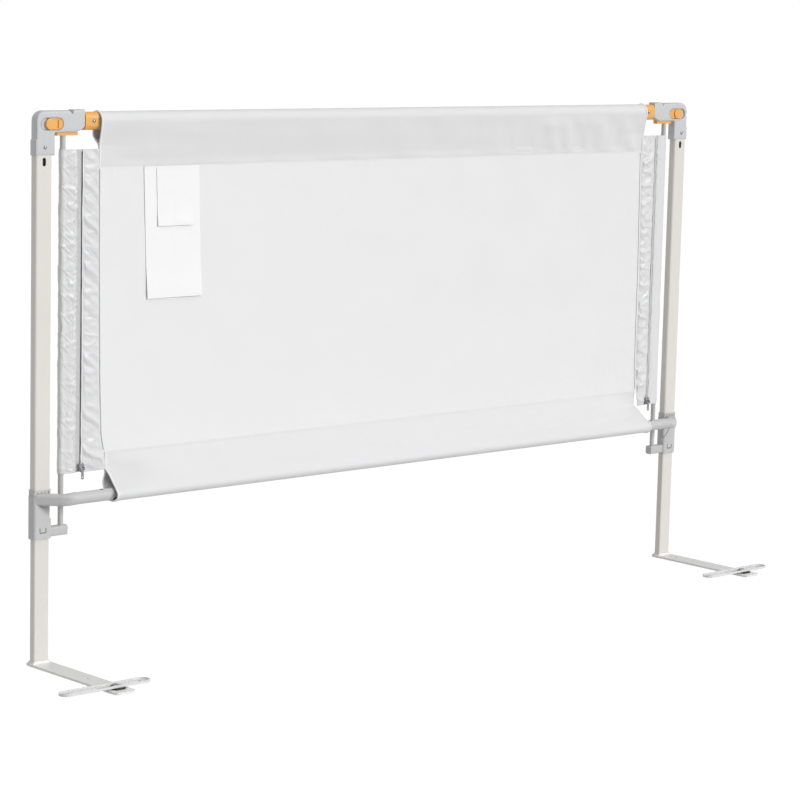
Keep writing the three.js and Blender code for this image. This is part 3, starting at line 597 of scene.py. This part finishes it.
# A dark grey wire in the snap tab's groove, painted shade of the groove
def makeSnapGrooveShade(side):
    wide, tall, groove = bracket["snap"]
    edge, floor = wide / 2 - groove / 2, bracket["snapFloor"] + groove / 2
    half = [(edge - 2, floor), (edge - 0.6, floor + 0.6), (edge, floor + 2), (edge, floor + tall - 1)]
    outline = [(-u, z) for u, z in reversed(half)] + half
    points = [spot(side, u, bracket["snapFront"], z) for u, z in outline]
    line = pathTube(f"snap_line_{side}", points, bracket["snapWire"] * mm)
    handOver(line, "snapGrooveShade", "guard_frame", "grey_plastic")


def surfaceOf(nodeName):
    node = frame["nodes"][nodeName]
    piece = bpy.data.objects.new(f"{nodeName}_surface", node.data.copy())
    bpy.context.scene.collection.objects.link(piece)
    takeUp(piece)
    if piece.data.has_custom_normals:
        bpy.ops.mesh.customdata_custom_splitnormals_clear()
    editAll(
        lambda: bpy.ops.mesh.remove_doubles(threshold=edges["mergeGap"]),
        lambda: bpy.ops.mesh.dissolve_limited(angle_limit=math.radians(edges["flatAngle"])),
    )
    return piece


def softened(piece, width):
    if width:
        shaped(
            piece, "BEVEL", width=width * mm, segments=edges["segments"], limit_method="ANGLE",
            angle_limit=math.radians(edges["bevelAngle"]), use_clamp_overlap=True,
        )
    smoothed(piece, edges["sharpAngle"])
    if width:
        shaped(piece, "WEIGHTED_NORMAL", keep_sharp=True, weight=50)


def makeHardPieces():
    for base, (finish, slot, width) in hardEdges.items():
        for side in sides:
            nodeName = f"{base}_{side}"
            piece = surfaceOf(nodeName)
            if base == "lower_bracket":
                openedElbow(piece, side)
            softened(piece, width)
            handOver(piece, finish, frame["nodes"][nodeName]["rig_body"], slot, nodeName)
    for nodeName in ("top_rail", "bottom_rail"):
        piece = surfaceOf(nodeName)
        softened(piece, railEdge)
        handOver(piece, "painted", "guard_frame", "painted_steel", nodeName)
    for side in sides:
        spring = frame["nodes"][f"trigger_spring_{side}"]
        spring.data.materials.clear()
        spring.data.materials.append(finishes["plated"])


# Moulded line round the recess of the lock slider, in a darker grey that paints the shade of the groove line
# beside it
recess = {"from": -7.98, "to": 35.68, "half": 9.93, "rim": 0.45, "steps": 24}


def makeRecessRim(side):
    low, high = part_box(f"lock_slider_{side}")
    middle = (low.z + high.z) / 2 / mm
    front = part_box(f"corner_housing_{side}")[0].y / mm - uprightY / mm
    outline = []
    for end, turn in ((recess["to"] - recess["half"], -90), (recess["from"] + recess["half"], 90)):
        for step in range(recess["steps"] + 1):
            angle = math.radians(turn + 180 * step / recess["steps"])
            u, z = recess["half"] * math.cos(angle), recess["half"] * math.sin(angle)
            outline.append(spot(side, end + u, front, middle + z))
    rim = pathTube(f"recess_rim_{side}", outline, recess["rim"] * mm, closed=True)
    handOver(rim, "rim", "guard_frame", "grey_plastic")


# Cloth
def sewnOn(piece, finish, *stoodFor):
    return handOver(piece, finish, "guard_frame", "white_cloth", *stoodFor)


crumple = {
    "frames": 13,
    "quality": 4,
    "vertexMass": 0.002,
    "stiffness": 60,
    "shear": 20,
    "damping": 0.01,
    "bendingDamping": 0.001,
    "inward": 0.2,  # how far a point may go to either side of the flat cloth
    "outward": 3.4,
    "sideways": 0.8,  # share kept of its move along the cloth
    "heldEnds": 0.006,
}


# The sheet grows a little between its sewn lines, as gathered cloth does, and buckles
def buckled(piece, sewn, grow, bending, away):
    takeUp(piece)
    held = piece.vertex_groups.new(name="sewn")
    held.add(sewn, 1, "REPLACE")
    simulation = piece.modifiers.new("cloth", "CLOTH")
    wanted = simulation.settings
    wanted.vertex_group_mass = held.name
    wanted.effector_weights.gravity = 0
    wanted.shrink_min = -grow
    wanted.quality = crumple["quality"]
    wanted.mass = crumple["vertexMass"]
    wanted.tension_stiffness = wanted.compression_stiffness = crumple["stiffness"]
    wanted.shear_stiffness = crumple["shear"]
    wanted.bending_model = "ANGULAR"
    wanted.bending_stiffness = bending
    wanted.tension_damping = wanted.compression_damping = wanted.shear_damping = crumple["damping"]
    wanted.bending_damping = crumple["bendingDamping"]
    simulation.collision_settings.use_collision = False
    simulation.point_cache.frame_start, simulation.point_cache.frame_end = 1, crumple["frames"]
    for frameNumber in range(1, crumple["frames"] + 1):
        bpy.context.scene.frame_set(frameNumber)
    moved = piece.evaluated_get(bpy.context.evaluated_depsgraph_get()).data.vertices
    places = [vertex.co.copy() for vertex in moved]
    directions = [vertex.normal.copy() for vertex in piece.data.vertices]
    piece.modifiers.remove(simulation)
    piece.vertex_groups.remove(held)
    bpy.context.scene.frame_set(1)
    for vertex, place, normal in zip(piece.data.vertices, places, directions):
        out = normal if normal.dot(away(vertex.co)) > 0 else -normal
        step = place - vertex.co
        height = step.dot(out)
        kept = min(crumple["outward"] * mm, max(-crumple["inward"] * mm, height))
        vertex.co = vertex.co + (step - out * height) * crumple["sideways"] + out * kept


def clothSheet(name, columns, rows, size, place, thick, gathers=None):
    piece = fresh(name, "grid", x_subdivisions=columns, y_subdivisions=rows, size=1)
    shares = [(vertex.co.x + 0.5, vertex.co.y + 0.5) for vertex in piece.data.vertices]
    for vertex, (s, t) in zip(piece.data.vertices, shares):
        vertex.co = place(s, t)
    piece.data.update()
    if gathers:
        ends = crumple["heldEnds"]
        sewn = [
            index for index, (s, t) in enumerate(shares)
            if not ends < t < 1 - ends or any(low <= s <= high for low, high in gathers["sewn"])
        ]
        buckled(piece, sewn, gathers["grow"], gathers["bending"], gathers["away"])
    for loop in piece.data.uv_layers.active.data:
        loop.uv = (loop.uv[0] * size[0], loop.uv[1] * size[1])
    shaped(piece, "SOLIDIFY", thickness=thick * mm, offset=0, use_even_offset=True)
    turnOut(piece)
    smoothed(piece, cloth["sharpAngle"])
    return piece


def pathTube(name, points, radius, facets=8, closed=False):
    curve = bpy.data.curves.new(name, "CURVE")
    curve.dimensions = "3D"
    curve.bevel_depth = radius
    curve.bevel_resolution = max(1, facets // 4)
    curve.use_fill_caps = not closed
    line = curve.splines.new("POLY")
    line.points.add(len(points) - 1)
    for target, point in zip(line.points, points):
        target.co = (*point, 1)
    line.use_cyclic_u = closed
    piece = bpy.data.objects.new(name, curve)
    bpy.context.scene.collection.objects.link(piece)
    takeUp(piece)
    bpy.ops.object.convert(target="MESH")
    piece = bpy.context.active_object
    bpy.ops.object.shade_smooth()
    return piece


# A row of stitches, each a small rounded grain of thread lying along the line
def stitchRow(name, points, pitch, radius, lift):
    grain = fresh(name, "ico_sphere", subdivisions=1, radius=1)
    shape = [vertex.co.copy() for vertex in grain.data.vertices]
    faces = [tuple(face.vertices) for face in grain.data.polygons]
    vertices, polygons = [], []
    gone, target = 0.0, pitch / 2
    for start, end in zip(points, points[1:]):
        step = (end - start).length
        while target <= gone + step and step > 0:
            middle = start.lerp(end, (target - gone) / step)
            ahead = (end - start).normalized()
            out = lift.normalized()
            acrossLine = ahead.cross(out).normalized()
            first = len(vertices)
            for corner in shape:
                flatPart = ahead * (corner.x * pitch * cloth["grainShare"]) + acrossLine * (corner.y * radius)
                vertices.append(middle + lift + flatPart + out * (corner.z * radius))
            polygons.extend(tuple(first + index for index in face) for face in faces)
            target += pitch
        gone += step
    grain.data.clear_geometry()
    grain.data.from_pydata(vertices, [], polygons)
    grain.data.uv_layers.new(name="UVMap")
    grain.data.update()
    bpy.ops.object.shade_smooth()
    return grain


# Cross-section of a cloth loop, from its front edge at the seam over the rail to its back edge.
# Both layers lie in the cloth's plane as far as heldTo, where the side panel's end is sewn on.
def loopLine(loop, heldTo):
    middleY, middleZ = loop["middle"]
    halfDepth, halfHeight = loop["halfDepth"], loop["halfHeight"]
    up = 1 if middleZ > loop["seam"] else -1
    front = (clothPlane - loop["layerGap"], heldTo)
    back = (clothPlane + loop["layerGap"], heldTo)
    points = []
    count, straightSteps = cloth["roundSteps"], cloth["straightSteps"]
    for step in range(count + 1):
        angle = math.radians(-200 + 400 * step / count)  # 0 is straight away from the seam
        points.append((middleY + halfDepth * math.sin(angle), middleZ + up * halfHeight * math.cos(angle)))

    def bare(edge, ordered):  # index of the point where a straight line from the edge touches the round
        best = 0
        turnBest = None
        for index, point in ordered:
            turn = math.atan2(point[0] - edge[0], up * (point[1] - edge[1]))
            if turnBest is None or (turn < turnBest if edge is front else turn > turnBest):
                best, turnBest = index, turn
        return best

    half = list(enumerate(points))
    first = bare(front, [item for item in half if item[0] <= count // 2])
    last = bare(back, [item for item in half if item[0] >= count // 2])
    outline = [Vector((0, front[0], loop["seam"]))]
    for step in range(0 if heldTo != loop["seam"] else 1, straightSteps):
        outline.append(Vector((0, *front)).lerp(Vector((0, *points[first])), step / straightSteps))
    outline += [Vector((0, *point)) for point in points[first:last + 1]]
    for step in range(1, straightSteps + 1):
        outline.append(Vector((0, *points[last])).lerp(Vector((0, *back)), step / straightSteps))
    if heldTo != loop["seam"]:
        outline.append(Vector((0, back[0], loop["seam"])))
    return outline, runLengths(outline)


# Which run of a line a distance lies in, and the share of that run
def runAt(lengths, target, slack=0):
    index = min(bisect_right(lengths, target + slack) - 1, len(lengths) - 2)
    return index, (target - lengths[index]) / (lengths[index + 1] - lengths[index])


def along(outline, lengths, share):
    index, part = runAt(lengths, share * lengths[-1])
    point = outline[index].lerp(outline[index + 1], part)
    before = outline[max(0, index - 1)]
    after = outline[min(len(outline) - 1, index + 2)]
    ahead = (after - before).normalized()
    return point, Vector((0, -ahead.z, ahead.y))  # outward from the loop


# How the loop's line changes near its ends
def endedLoop(loop):
    towardsRail = 1 if loop["middle"][1] > loop["seam"] else -1
    free = loopLine(loop, loop["seam"] + towardsRail * loop["hem"])
    held = loopLine(loop, loop["heldTo"])

    def at(fromEnd, t):
        middle, out = along(*free, t)
        share = 1 - smooth(fromEnd, 4, loop["endReach"])
        if share > 0:
            ended, endedOut = along(*held, t)
            middle, out = middle.lerp(ended, share), out.lerp(endedOut, share).normalized()
        return middle, out, share

    return at, free[1][-1]


clothPlane = -7.25
cloth = {
    "thick": 0.6,
    "sharpAngle": 62,
    "roundSteps": 120,
    "straightSteps": 24,
    "grainShare": 0.36,  # half of a stitch's length, of the pitch
    "hemRadius": 1.7,
    "pipedAt": (0.0007, 0.9993),
    "stitchPitch": 3.2,
    "stitchRadius": 0.32,
    "stitchInset": 4,
}

topLoop = {
    "middle": (-1, 881.4),
    "halfDepth": 14.6,
    "halfHeight": 15.2,
    "seam": 807.5,
    "hem": 12,
    "heldTo": 842,
    "endReach": 95,
    "slack": 7,
    "slackAt": (856, 9),  # height and reach
    "layerGap": 0.55,
    "folds": 2.0,
    "foldsEnd": (48, 74),
    "fullFrom": (0.62, 0.86),
    "calmEnd": 0.4,
    "seeds": (0, 40),  # front and back layer
    "waves": [(74, 190, 0, 0, 0.8, 1.1), (34, 150, 0.3, 13, 0, 1.7), (23, 70, 0, 9, 0.12, 0.55),
              (160, 30, 0, 5, 0.5, 0)],
    "rim": 0.36,
    "outward": 1,
    "drawnIn": {"left": 0, "right": 0},
    "flared": 0,
    "drawnAt": (844, 876),
    "flaredAt": (844, 864),
    "columns": 430,
    "rows": 64,
}


lowLoop = {
    "middle": (-44, 277),
    "halfDepth": 16.6,
    "halfHeight": 11.1,
    "seam": 341.5,
    "hem": 4,
    "heldTo": 313,
    "endReach": 95,
    "slack": 6,
    "slackAt": (294, 10),
    "layerGap": 0.55,
    "folds": 1.5,
    "foldsEnd": (56, 76),
    "fullFrom": (0.55, 0.85),
    "calmEnd": 0,
    "seeds": (20, 60),
    "waves": [(120, 42, 0, 0, 0.9, 0), (60, 13, 2, 3, 0.15, 1.0), (30, 120, 0, 7, 0.35, 0)],
    "rim": 0,
    "outward": -1,  # its line runs the other way round
    "drawnIn": {"left": 9, "right": 8},
    "flared": 2.4,
    "drawnAt": (280, 312),
    "flaredAt": (280, 300),
    "columns": 430,
    "rows": 60,
}


# The back layer hangs away from the rail near its ends
def slackened(loop, z):
    height, reach = loop["slackAt"]
    return loop["slack"] * math.exp(-(((z - height) / reach) ** 2))


# Height of the folds: each wave has its lengths along and round, its lean, its seed, and its heights
# all along and towards the right end
def folded(loop, x, seamDistance, seed, towardsEnd):
    height = sum(
        ripple((x + lean * seamDistance) / long, seamDistance / tall, seed + own) * (even + full * towardsEnd)
        for long, tall, lean, own, even, full in loop["waves"]
    )
    return loop["folds"] * height * smooth(seamDistance, 0, 10) * (1 - smooth(seamDistance, *loop["foldsEnd"]))


# A sleeve round its rail, with its piped ends and a row of stitches on each layer
def makeSleeve(end, loop):
    name = f"{end}_sleeve"
    low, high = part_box(name)
    first, last = low.x / mm, high.x / mm
    loopAt, around = endedLoop(loop)

    def place(s, t):
        x = first + s * (last - first)
        fromEnd = min(x - first, last - x)
        point, out, ended = loopAt(fromEnd, t)
        side = "left" if s < 0.5 else "right"
        flared = loop["flared"] * inward[side] * (1 - smooth(point.z, *loop["flaredAt"]))
        x += ended * (loop["drawnIn"][side] * smooth(point.z, *loop["drawnAt"]) - flared)
        if t > 0.5:
            point.y += slackened(loop, point.z) * ended
        seamDistance = min(t, 1 - t) * around
        towardsEnd = smooth(s, *loop["fullFrom"]) * (1 - loop["calmEnd"] * smooth(s, 0.97, 1))
        height = folded(loop, x, seamDistance, loop["seeds"][t >= 0.5], towardsEnd)
        height += loop["rim"] * (1 - smooth(fromEnd, 0, 14)) * smooth(seamDistance, 4, 40)
        point = point + out * loop["outward"] * height
        return Vector((x * mm, uprightY + point.y * mm, point.z * mm))

    flat = ((last - first) * mm, around * mm)
    piece = clothSheet(f"{name}_cloth", loop["columns"], loop["rows"], flat, place, cloth["thick"])
    sewnOn(piece, "sleeve", name)
    for side, s in zip(sides, cloth["pipedAt"]):
        ring = [place(s, step / 90) for step in range(91)]
        hem = pathTube(f"{name}_piping_{side}", ring, cloth["hemRadius"] * mm)
        sewnOn(hem, "hem")
    inset = cloth["stitchInset"] / around
    for layer, share, out in (("front", inset, -1), ("back", 1 - inset, 1)):
        line = [place(step / 200, share) for step in range(201)]
        lift = Vector((0, out, 0)) * (cloth["thick"] / 2 * mm)
        pitch, radius = cloth["stitchPitch"] * mm, cloth["stitchRadius"] * mm
        row = stitchRow(f"{name}_stitches_{layer}", line, pitch, radius, lift)
        sewnOn(row, "thread")


net = {"columns": 400, "rows": 96, "thick": 0.5, "tuckedIn": 5, "ripples": 0.7, "binding": 1.1}


# Where each side edge of the cloth hangs off its straight line, by height, counted inward
edgeShift = {
    "left": [(312, 18), (341, 14), (357, 9.5), (372, 7.3), (405, 6), (459, 4), (594, 2), (755, 0.5), (837, 0)],
    "right": [(312, -9), (345, -4), (372, -1), (400, 0), (580, 0), (650, 1.5), (750, 4), (837, 5)],
}


def flare(side, z):
    line = edgeShift[side]
    if z <= line[0][0]:
        return line[0][1]
    for (low, first), (high, second) in zip(line, line[1:]):
        if z <= high:
            return first + (second - first) * (z - low) / (high - low)
    return line[-1][1]


def makeNet():
    low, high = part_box("net_panel")
    start, end = low.x / mm, high.x / mm
    bottom, top = low.z / mm - net["tuckedIn"], high.z / mm + net["tuckedIn"]

    def place(s, t):
        z = bottom + t * (top - bottom)
        left, right = start + flare("left", z), end - flare("right", z)
        x = left + s * (right - left)
        fromSeam = min(z - bottom, top - z)
        free = smooth(fromSeam, 4, 40)
        depth = ripple(x / 130, z / 260, 2) * 1.3 + ripple(x / 42, z / 150, 7) * 0.45
        depth += ripple(x / 16, z / 34, 4) * 0.35 * (1 - smooth(fromSeam, 6, 60))
        gathered = ripple(x / 6.5, z / 90, 8) * 0.4 * smooth(fromSeam, 4, 9) * (1 - smooth(fromSeam, 12, 34))
        front = clothPlane + net["ripples"] * depth * free - abs(gathered)
        return Vector((x * mm, uprightY + front * mm, z * mm))

    size = ((end - start) * mm, (top - bottom) * mm)
    piece = clothSheet("net_cloth", net["columns"], net["rows"], size, place, net["thick"])
    handOver(piece, "net", "guard_frame", "white_net", "net_panel")
    for side, s in zip(sides, (0.0012, 0.9988)):
        line = [place(s, step / 60) for step in range(1, 60)]
        binding = pathTube(f"net_binding_{side}", line, net["binding"] * mm)
        sewnOn(binding, "seamShadeThread")


# Side panel: cloth round the release rod with a ruffled flap over the zip, and a satin strip behind it
panel = {
    "rod": 40.8,
    "round": 5.7,
    "front": -8.3,
    "wrapBack": -24,  # degrees round the rod, from inward
    "flapEdge": {"left": 64, "right": 67},
    "innerEdge": 74.5,
    "netEdge": 106,
    "low": 312,
    "high": 837,
    "rodSteps": 33,
    "flapSteps": 26,
    "pucker": 27,  # mean height between gathers
    "puckerLean": 16,
    "puckerReach": 30,
    "creaseLean": 46,
    "creaseWidth": 1.9,
    "creaseHeight": 0.9,
    "rows": 360,
    "thick": 0.55,
    "outerSewn": ((0, 0.04), (0.6, 0.64), (0.92, 1)),
    "outerGrow": {"left": 0.022, "right": 0.012},
    "fullness": {"left": 1, "right": 0.4},
    "innerSewn": ((0, 0.12), (0.92, 1)),
    "innerGrow": {"left": 0.012, "right": 0.045},
    "innerPuckers": {"left": 0.4, "right": 1.7},
    "outerBending": 0.002,
    "innerBending": {"left": 0.02, "right": 0.002},
}


def panelLine(side):
    points = []
    for step in range(panel["rodSteps"] + 1):
        angle = math.radians(panel["wrapBack"] + (270 - panel["wrapBack"]) * step / panel["rodSteps"])
        u = panel["rod"] + panel["round"] * math.cos(angle)
        points.append(Vector((u, panel["round"] * math.sin(angle), 0)))
    turn = points[-1]
    reach = panel["flapEdge"][side] - turn.x
    for step in range(1, panel["flapSteps"] + 1):
        share = step / panel["flapSteps"]
        y = turn.y + (panel["front"] - turn.y) * smooth(share, 0, 0.7)
        points.append(Vector((turn.x + reach * share, y, 0)))
    return points, runLengths(points)


def makeSidePanel(side):
    dice = random.Random(31 if side == "left" else 32)
    tall = panel["high"] - panel["low"]
    gathers = []
    height = panel["low"] + 8
    while height < panel["high"]:
        gathers.append((height, dice.uniform(0.5, 1.2), dice.uniform(-0.5, 0.5), dice.uniform(3.2, 6)))
        height += panel["pucker"] * dice.uniform(0.55, 1.35)
    points, lengths = panelLine(side)
    seed = 3 if side == "left" else 13

    def puckered(z, across):
        return sum(
            size * math.exp(-(((z - height - lean * across * panel["puckerLean"]) / spread) ** 2))
            for height, size, lean, spread in gathers
            if abs(z - height) < panel["puckerReach"]
        )

    def creased(z, s):  # short sharp diagonals beside the rod
        return sum(
            size * math.exp(-(((z - height + panel["creaseLean"] * (s - 0.5)) / panel["creaseWidth"]) ** 2))
            for height, size, _, _ in gathers
            if abs(z - height) < panel["puckerReach"]
        )

    def placeOuter(s, t):
        z = panel["low"] + t * tall
        index, part = runAt(lengths, s * lengths[-1], 1e-9)
        point = points[index].lerp(points[index + 1], part)
        ahead = (points[index + 1] - points[index]).normalized()
        out = Vector((ahead.y, -ahead.x, 0))
        flap = smooth(s, 0.5, 1)
        depth = puckered(z, flap) * (0.45 + 1.1 * flap)
        depth += (ripple(s * 3 + z / 60, z / 30, seed) * (0.25 + 0.5 * flap)
                  + ripple(s * 3, z / 17, seed + 2) * 0.4 * flap)
        depth = max(-0.1, depth + 0.1) * (1 - 0.6 * smooth(s, 0.86, 0.93))
        depth += 3.2 * max(0, ripple((z - 45 * s) / 3.6, s * 2, seed + 12) + 0.1) * smooth(s, 0.84, 0.92)
        depth += creased(z, s) * panel["creaseHeight"] * smooth(s, 0.42, 0.5) * (1 - smooth(s, 0.66, 0.8))
        depth *= panel["fullness"][side]
        point = point + out * depth
        z += 1.2 * ripple(s * 4, z / 30, seed + 5) * smooth(abs(t - 0.5), 0.5, 0.4)
        point.x += smooth(s, 0.9, 1) * (1.2 * ripple(0.3, z / 19, seed + 8) - 0.7)
        return spot(side, point.x, point.y, z)

    outerSize = (lengths[-1] * mm, tall * mm)
    axis = spot(side, panel["rod"], 0, 0)
    outer = clothSheet(
        f"side_panel_cloth_{side}", 50, panel["rows"], outerSize, placeOuter, panel["thick"],
        {"sewn": panel["outerSewn"], "grow": panel["outerGrow"][side], "bending": panel["outerBending"],
         "away": lambda place: Vector((place.x - axis.x, place.y - axis.y, 0))},
    )
    sewnOn(outer, "panel", f"side_panel_{side}")
    width = panel["netEdge"] - panel["innerEdge"]

    def placeInner(s, t):
        z = panel["low"] + t * tall
        u = panel["innerEdge"] + s * width
        slanted = ripple(u / 90, (z + 0.8 * u) / 15, seed + 22) * 3.4
        depth = ripple(u / 60, z / 60, seed + 20) * 1.2 + slanted + 0.5
        depth += panel["innerPuckers"][side] * puckered(z, -s)
        held = smooth(s, 0, 0.22) * (1 - smooth(s, 0.88, 1))
        u += 0.9 * ripple(1.7, z / 22, seed + 24) * (1 - smooth(s, 0, 0.2)) + flare(side, z) * s * s
        return spot(side, u, panel["front"] - 0.55 - max(-0.2, depth + 0.4) * held, z)

    innerSize = (width * mm, tall * mm)
    inner = clothSheet(
        f"zip_strip_cloth_{side}", 26, panel["rows"], innerSize, placeInner, panel["thick"],
        {"sewn": panel["innerSewn"], "grow": panel["innerGrow"][side], "bending": panel["innerBending"][side],
         "away": lambda place: Vector((0, -1, 0))},
    )
    sewnOn(inner, "panel")
    extras = []
    rows = (("flap", placeOuter, 0.955), ("strip", placeInner, 0.09), ("edge", placeInner, 0.955))
    for name, place, s in rows:
        line = [place(s, step / 120) for step in range(1, 120)]
        row = stitchRow(f"panel_stitches_{name}_{side}", line, 3 * mm, 0.3 * mm, Vector((0, -0.33 * mm, 0)))
        extras.append(sewnOn(row, "thread"))
    for name, place in (("outer", placeOuter), ("inner", placeInner)):
        for endName, t in (("low", 0.002), ("high", 0.998)):
            line = [place(step / 50, t) for step in range(51)]
            hem = pathTube(f"panel_hem_{name}_{endName}_{side}", line, 0.6 * mm, 4)
            extras.append(sewnOn(hem, "panel"))
    stripHem = pathTube(f"strip_hem_{side}", [placeInner(0, step / 300) for step in range(301)], 0.9 * mm, 4)
    extras.append(sewnOn(stripHem, "hem"))
    flapHem = pathTube(f"flap_hem_{side}", [placeOuter(1, step / 300) for step in range(301)], 0.55 * mm, 4)
    extras.append(sewnOn(flapHem, "panel"))
    behind = [piece for piece in extras if any(word in piece.name for word in ("strip", "inner", "edge"))]
    inFront = [piece for piece in extras if piece not in behind]


zipper = {
    "middle": 73,
    "tapeFrom": {"left": 58, "right": 62},
    "tapeTo": 81.5,
    "tapeY": -7.6,
    "tapeThick": 0.5,
    "tooth": (1.35, 1.35, 1.15),
    "toothOffset": 0.6,
    "pitch": 2.2,
    "toothY": -8.6,
    "cord": 70.9,
    "cordRadius": 0.5,
}


def makeZip(side):
    low, high = panel["low"] + 1, panel["high"] - 0.5
    tall = high - low

    def place(s, t):
        u = zipper["tapeFrom"][side] + s * width
        z = low + t * tall
        swell = max(0, ripple(u / 14, z / 7, seed) + 0.2) + 0.6 * max(0, ripple(u / 6, z / 24, seed + 2))
        free = smooth(s, 0.1, 0.25) * (1 - smooth(s, 0.42, 0.56))
        return spot(side, u, zipper["tapeY"] - 1.3 * swell * free, z)

    width = zipper["tapeTo"] - zipper["tapeFrom"][side]
    seed = 41 if side == "left" else 47
    size = (width * mm, tall * mm)
    tape = clothSheet(f"zip_tape_cloth_{side}", 30, 240, size, place, zipper["tapeThick"])
    sewnOn(tape, "tape", f"zip_tape_{side}")
    rows = []
    count = int(tall / zipper["pitch"]) - 2
    for half, start in ((-1, 0), (1, 0.5)):
        tooth = fresh(f"zip_teeth_{half}_{side}", "cube", size=1)
        tooth.scale = [value * mm for value in zipper["tooth"]]
        tooth.location = spot(side, zipper["middle"] + half * zipper["toothOffset"], zipper["toothY"],
                              low + 2 + (start + 0.5) * zipper["pitch"])
        settle(tooth)
        shaped(tooth, "BEVEL", width=0.3 * mm, segments=1)
        shaped(tooth, "ARRAY", count=count, use_relative_offset=False, use_constant_offset=True,
               constant_offset_displace=(0, 0, zipper["pitch"] * mm))
        rows.append(tooth)
    teeth = merged(f"zip_teeth_{side}", rows)
    handOver(teeth, "teeth", "guard_frame", "bright_steel")
    cordLine = [spot(side, zipper["cord"], zipper["tapeY"] - 0.5, low + tall * step / 60) for step in range(61)]
    cord = sewnOn(pathTube(f"zip_cord_{side}", cordLine, zipper["cordRadius"] * mm, 4), "hem")


# Blank label, two layers sewn on under the seam
label = {
    "thick": 0.35,
    "stitchInset": 3,
    "lean": 0.037,
    "layers": {
        "card": {"start": 0, "drop": 0, "width": 114, "length": 218, "front": -8.6, "curl": 2.6, "seed": 4,
                 "stoodFor": ["blank_label"]},
        "tag": {"start": 25, "drop": 3, "width": 74, "length": 96, "front": -9.5, "curl": 1.8, "seed": 9,
                "stoodFor": []},
    },
}


def makeLabel():
    low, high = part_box("blank_label")
    top, left = high.z / mm, low.x / mm
    for name, layer in label["layers"].items():
        def place(s, t, layer=layer):
            down = (1 - t) * layer["length"]
            x = left + layer["start"] + s * layer["width"] + (down + layer["drop"]) * label["lean"]
            depth = ripple(s * 2.2, t * 2.6, layer["seed"]) * 0.7 * smooth(1 - t, 0, 0.3)
            curl = layer["curl"] * (smooth(1 - t, 0.6, 1) ** 2) * (0.4 + 0.6 * abs(2 * s - 0.8))
            return Vector((x * mm, uprightY + (layer["front"] - abs(depth) - curl) * mm,
                           (top - layer["drop"] - down) * mm))

        size = (layer["width"] * mm, layer["length"] * mm)
        piece = clothSheet(f"label_{name}", 40, 64, size, place, label["thick"])
        handOver(piece, "label", "guard_frame", "label_cloth", *layer["stoodFor"])
        share = 1 - label["stitchInset"] / layer["length"]
        line = [place(0.03 + 0.94 * step / 40, share) for step in range(41)]
        row = stitchRow(f"label_stitches_{name}", line, 2.6 * mm, 0.28 * mm, Vector((0, -0.22 * mm, 0)))
        handOver(row, "thread", "guard_frame", "label_cloth")


# Studio
studio = {
    "floorSize": 40,
    "floorColours": ((0.68, 0.68, 0.68, 1), (0.72, 0.72, 0.72, 1)),
    "surround": 0.34,
    "whiteShare": 0.86,
    "whiteGlow": 1.09,
    "lamps": {
        "front": {"aim": (-0.38, 0.86, -0.36), "strength": 1.97, "angle": 22},
        "above": {"aim": (0.1, 0.25, -0.95), "strength": 0.85, "angle": 50},
        "rear": {"aim": (0.45, -0.8, -0.35), "strength": 0.4, "angle": 60},
    },
}


def seenDirectly(tree):
    rays = tree.nodes.new("ShaderNodeLightPath")
    direct, glossy, through = (
        Signal(tree, rays.outputs[f"Is {kind} Ray"]) for kind in ("Camera", "Glossy", "Transmission")
    )
    return direct, (direct + glossy + through).held()


def makeStudio():
    floor = fresh("studio_floor", "plane", size=studio["floorSize"], location=(0, 0, -0.0004))
    settle(floor)
    made = Finish("floorPaper", Roughness=0.9)
    cloud = made.noise(made.place(), 0.7)
    made.feed(Base_Color=made.blend(cloud, *studio["floorColours"]))
    _, seen = seenDirectly(made.tree)
    glow = made.add("Emission", Color=(1, 1, 1, 1), Strength=studio["whiteGlow"])
    paper = Signal(made.tree, made.shader.outputs[0])
    mixed = made.add("MixShader", i0=seen * studio["whiteShare"], i1=paper, i2=glow)
    made.tree.links.new(mixed.socket, made.tree.nodes["Material Output"].inputs["Surface"])
    floor.data.materials.append(made.material)
    world = bpy.data.worlds.new("studioWorld")
    bpy.context.scene.world = world
    world.use_nodes = True
    tree = world.node_tree
    direct, _ = seenDirectly(tree)
    background = tree.nodes["Background"]
    background.inputs["Color"].default_value = (1, 1, 1, 1)
    glow = studio["surround"] + direct * (1 - studio["surround"])
    tree.links.new(glow.socket, background.inputs["Strength"])
    for name, lamp in studio["lamps"].items():
        bpy.ops.object.light_add(type="SUN", location=(0, 0, 3))
        light = bpy.context.active_object
        light.name = f"{name}Light"
        light.data.energy = lamp["strength"]
        light.data.angle = math.radians(lamp["angle"])
        light.rotation_euler = Vector(lamp["aim"]).to_track_quat("-Z", "Y").to_euler()
    bpy.context.scene.view_settings.view_transform = "Standard"


makeCamera()
makeStudio()
print("camera and studio set")
makeHardPieces()
for side in sides:
    makeRecessRim(side)
    makeElbow(side)
    makeBracketWall(side)
    makeSnapGrooveShade(side)
print("hard pieces finished")
makeSleeve("top", topLoop)
makeSleeve("bottom", lowLoop)
makeNet()
print("sleeves and net hung")
for side in sides:
    makeSidePanel(side)
    makeZip(side)
print("side panels and zips sewn")
makeLabel()
print("label sewn on")
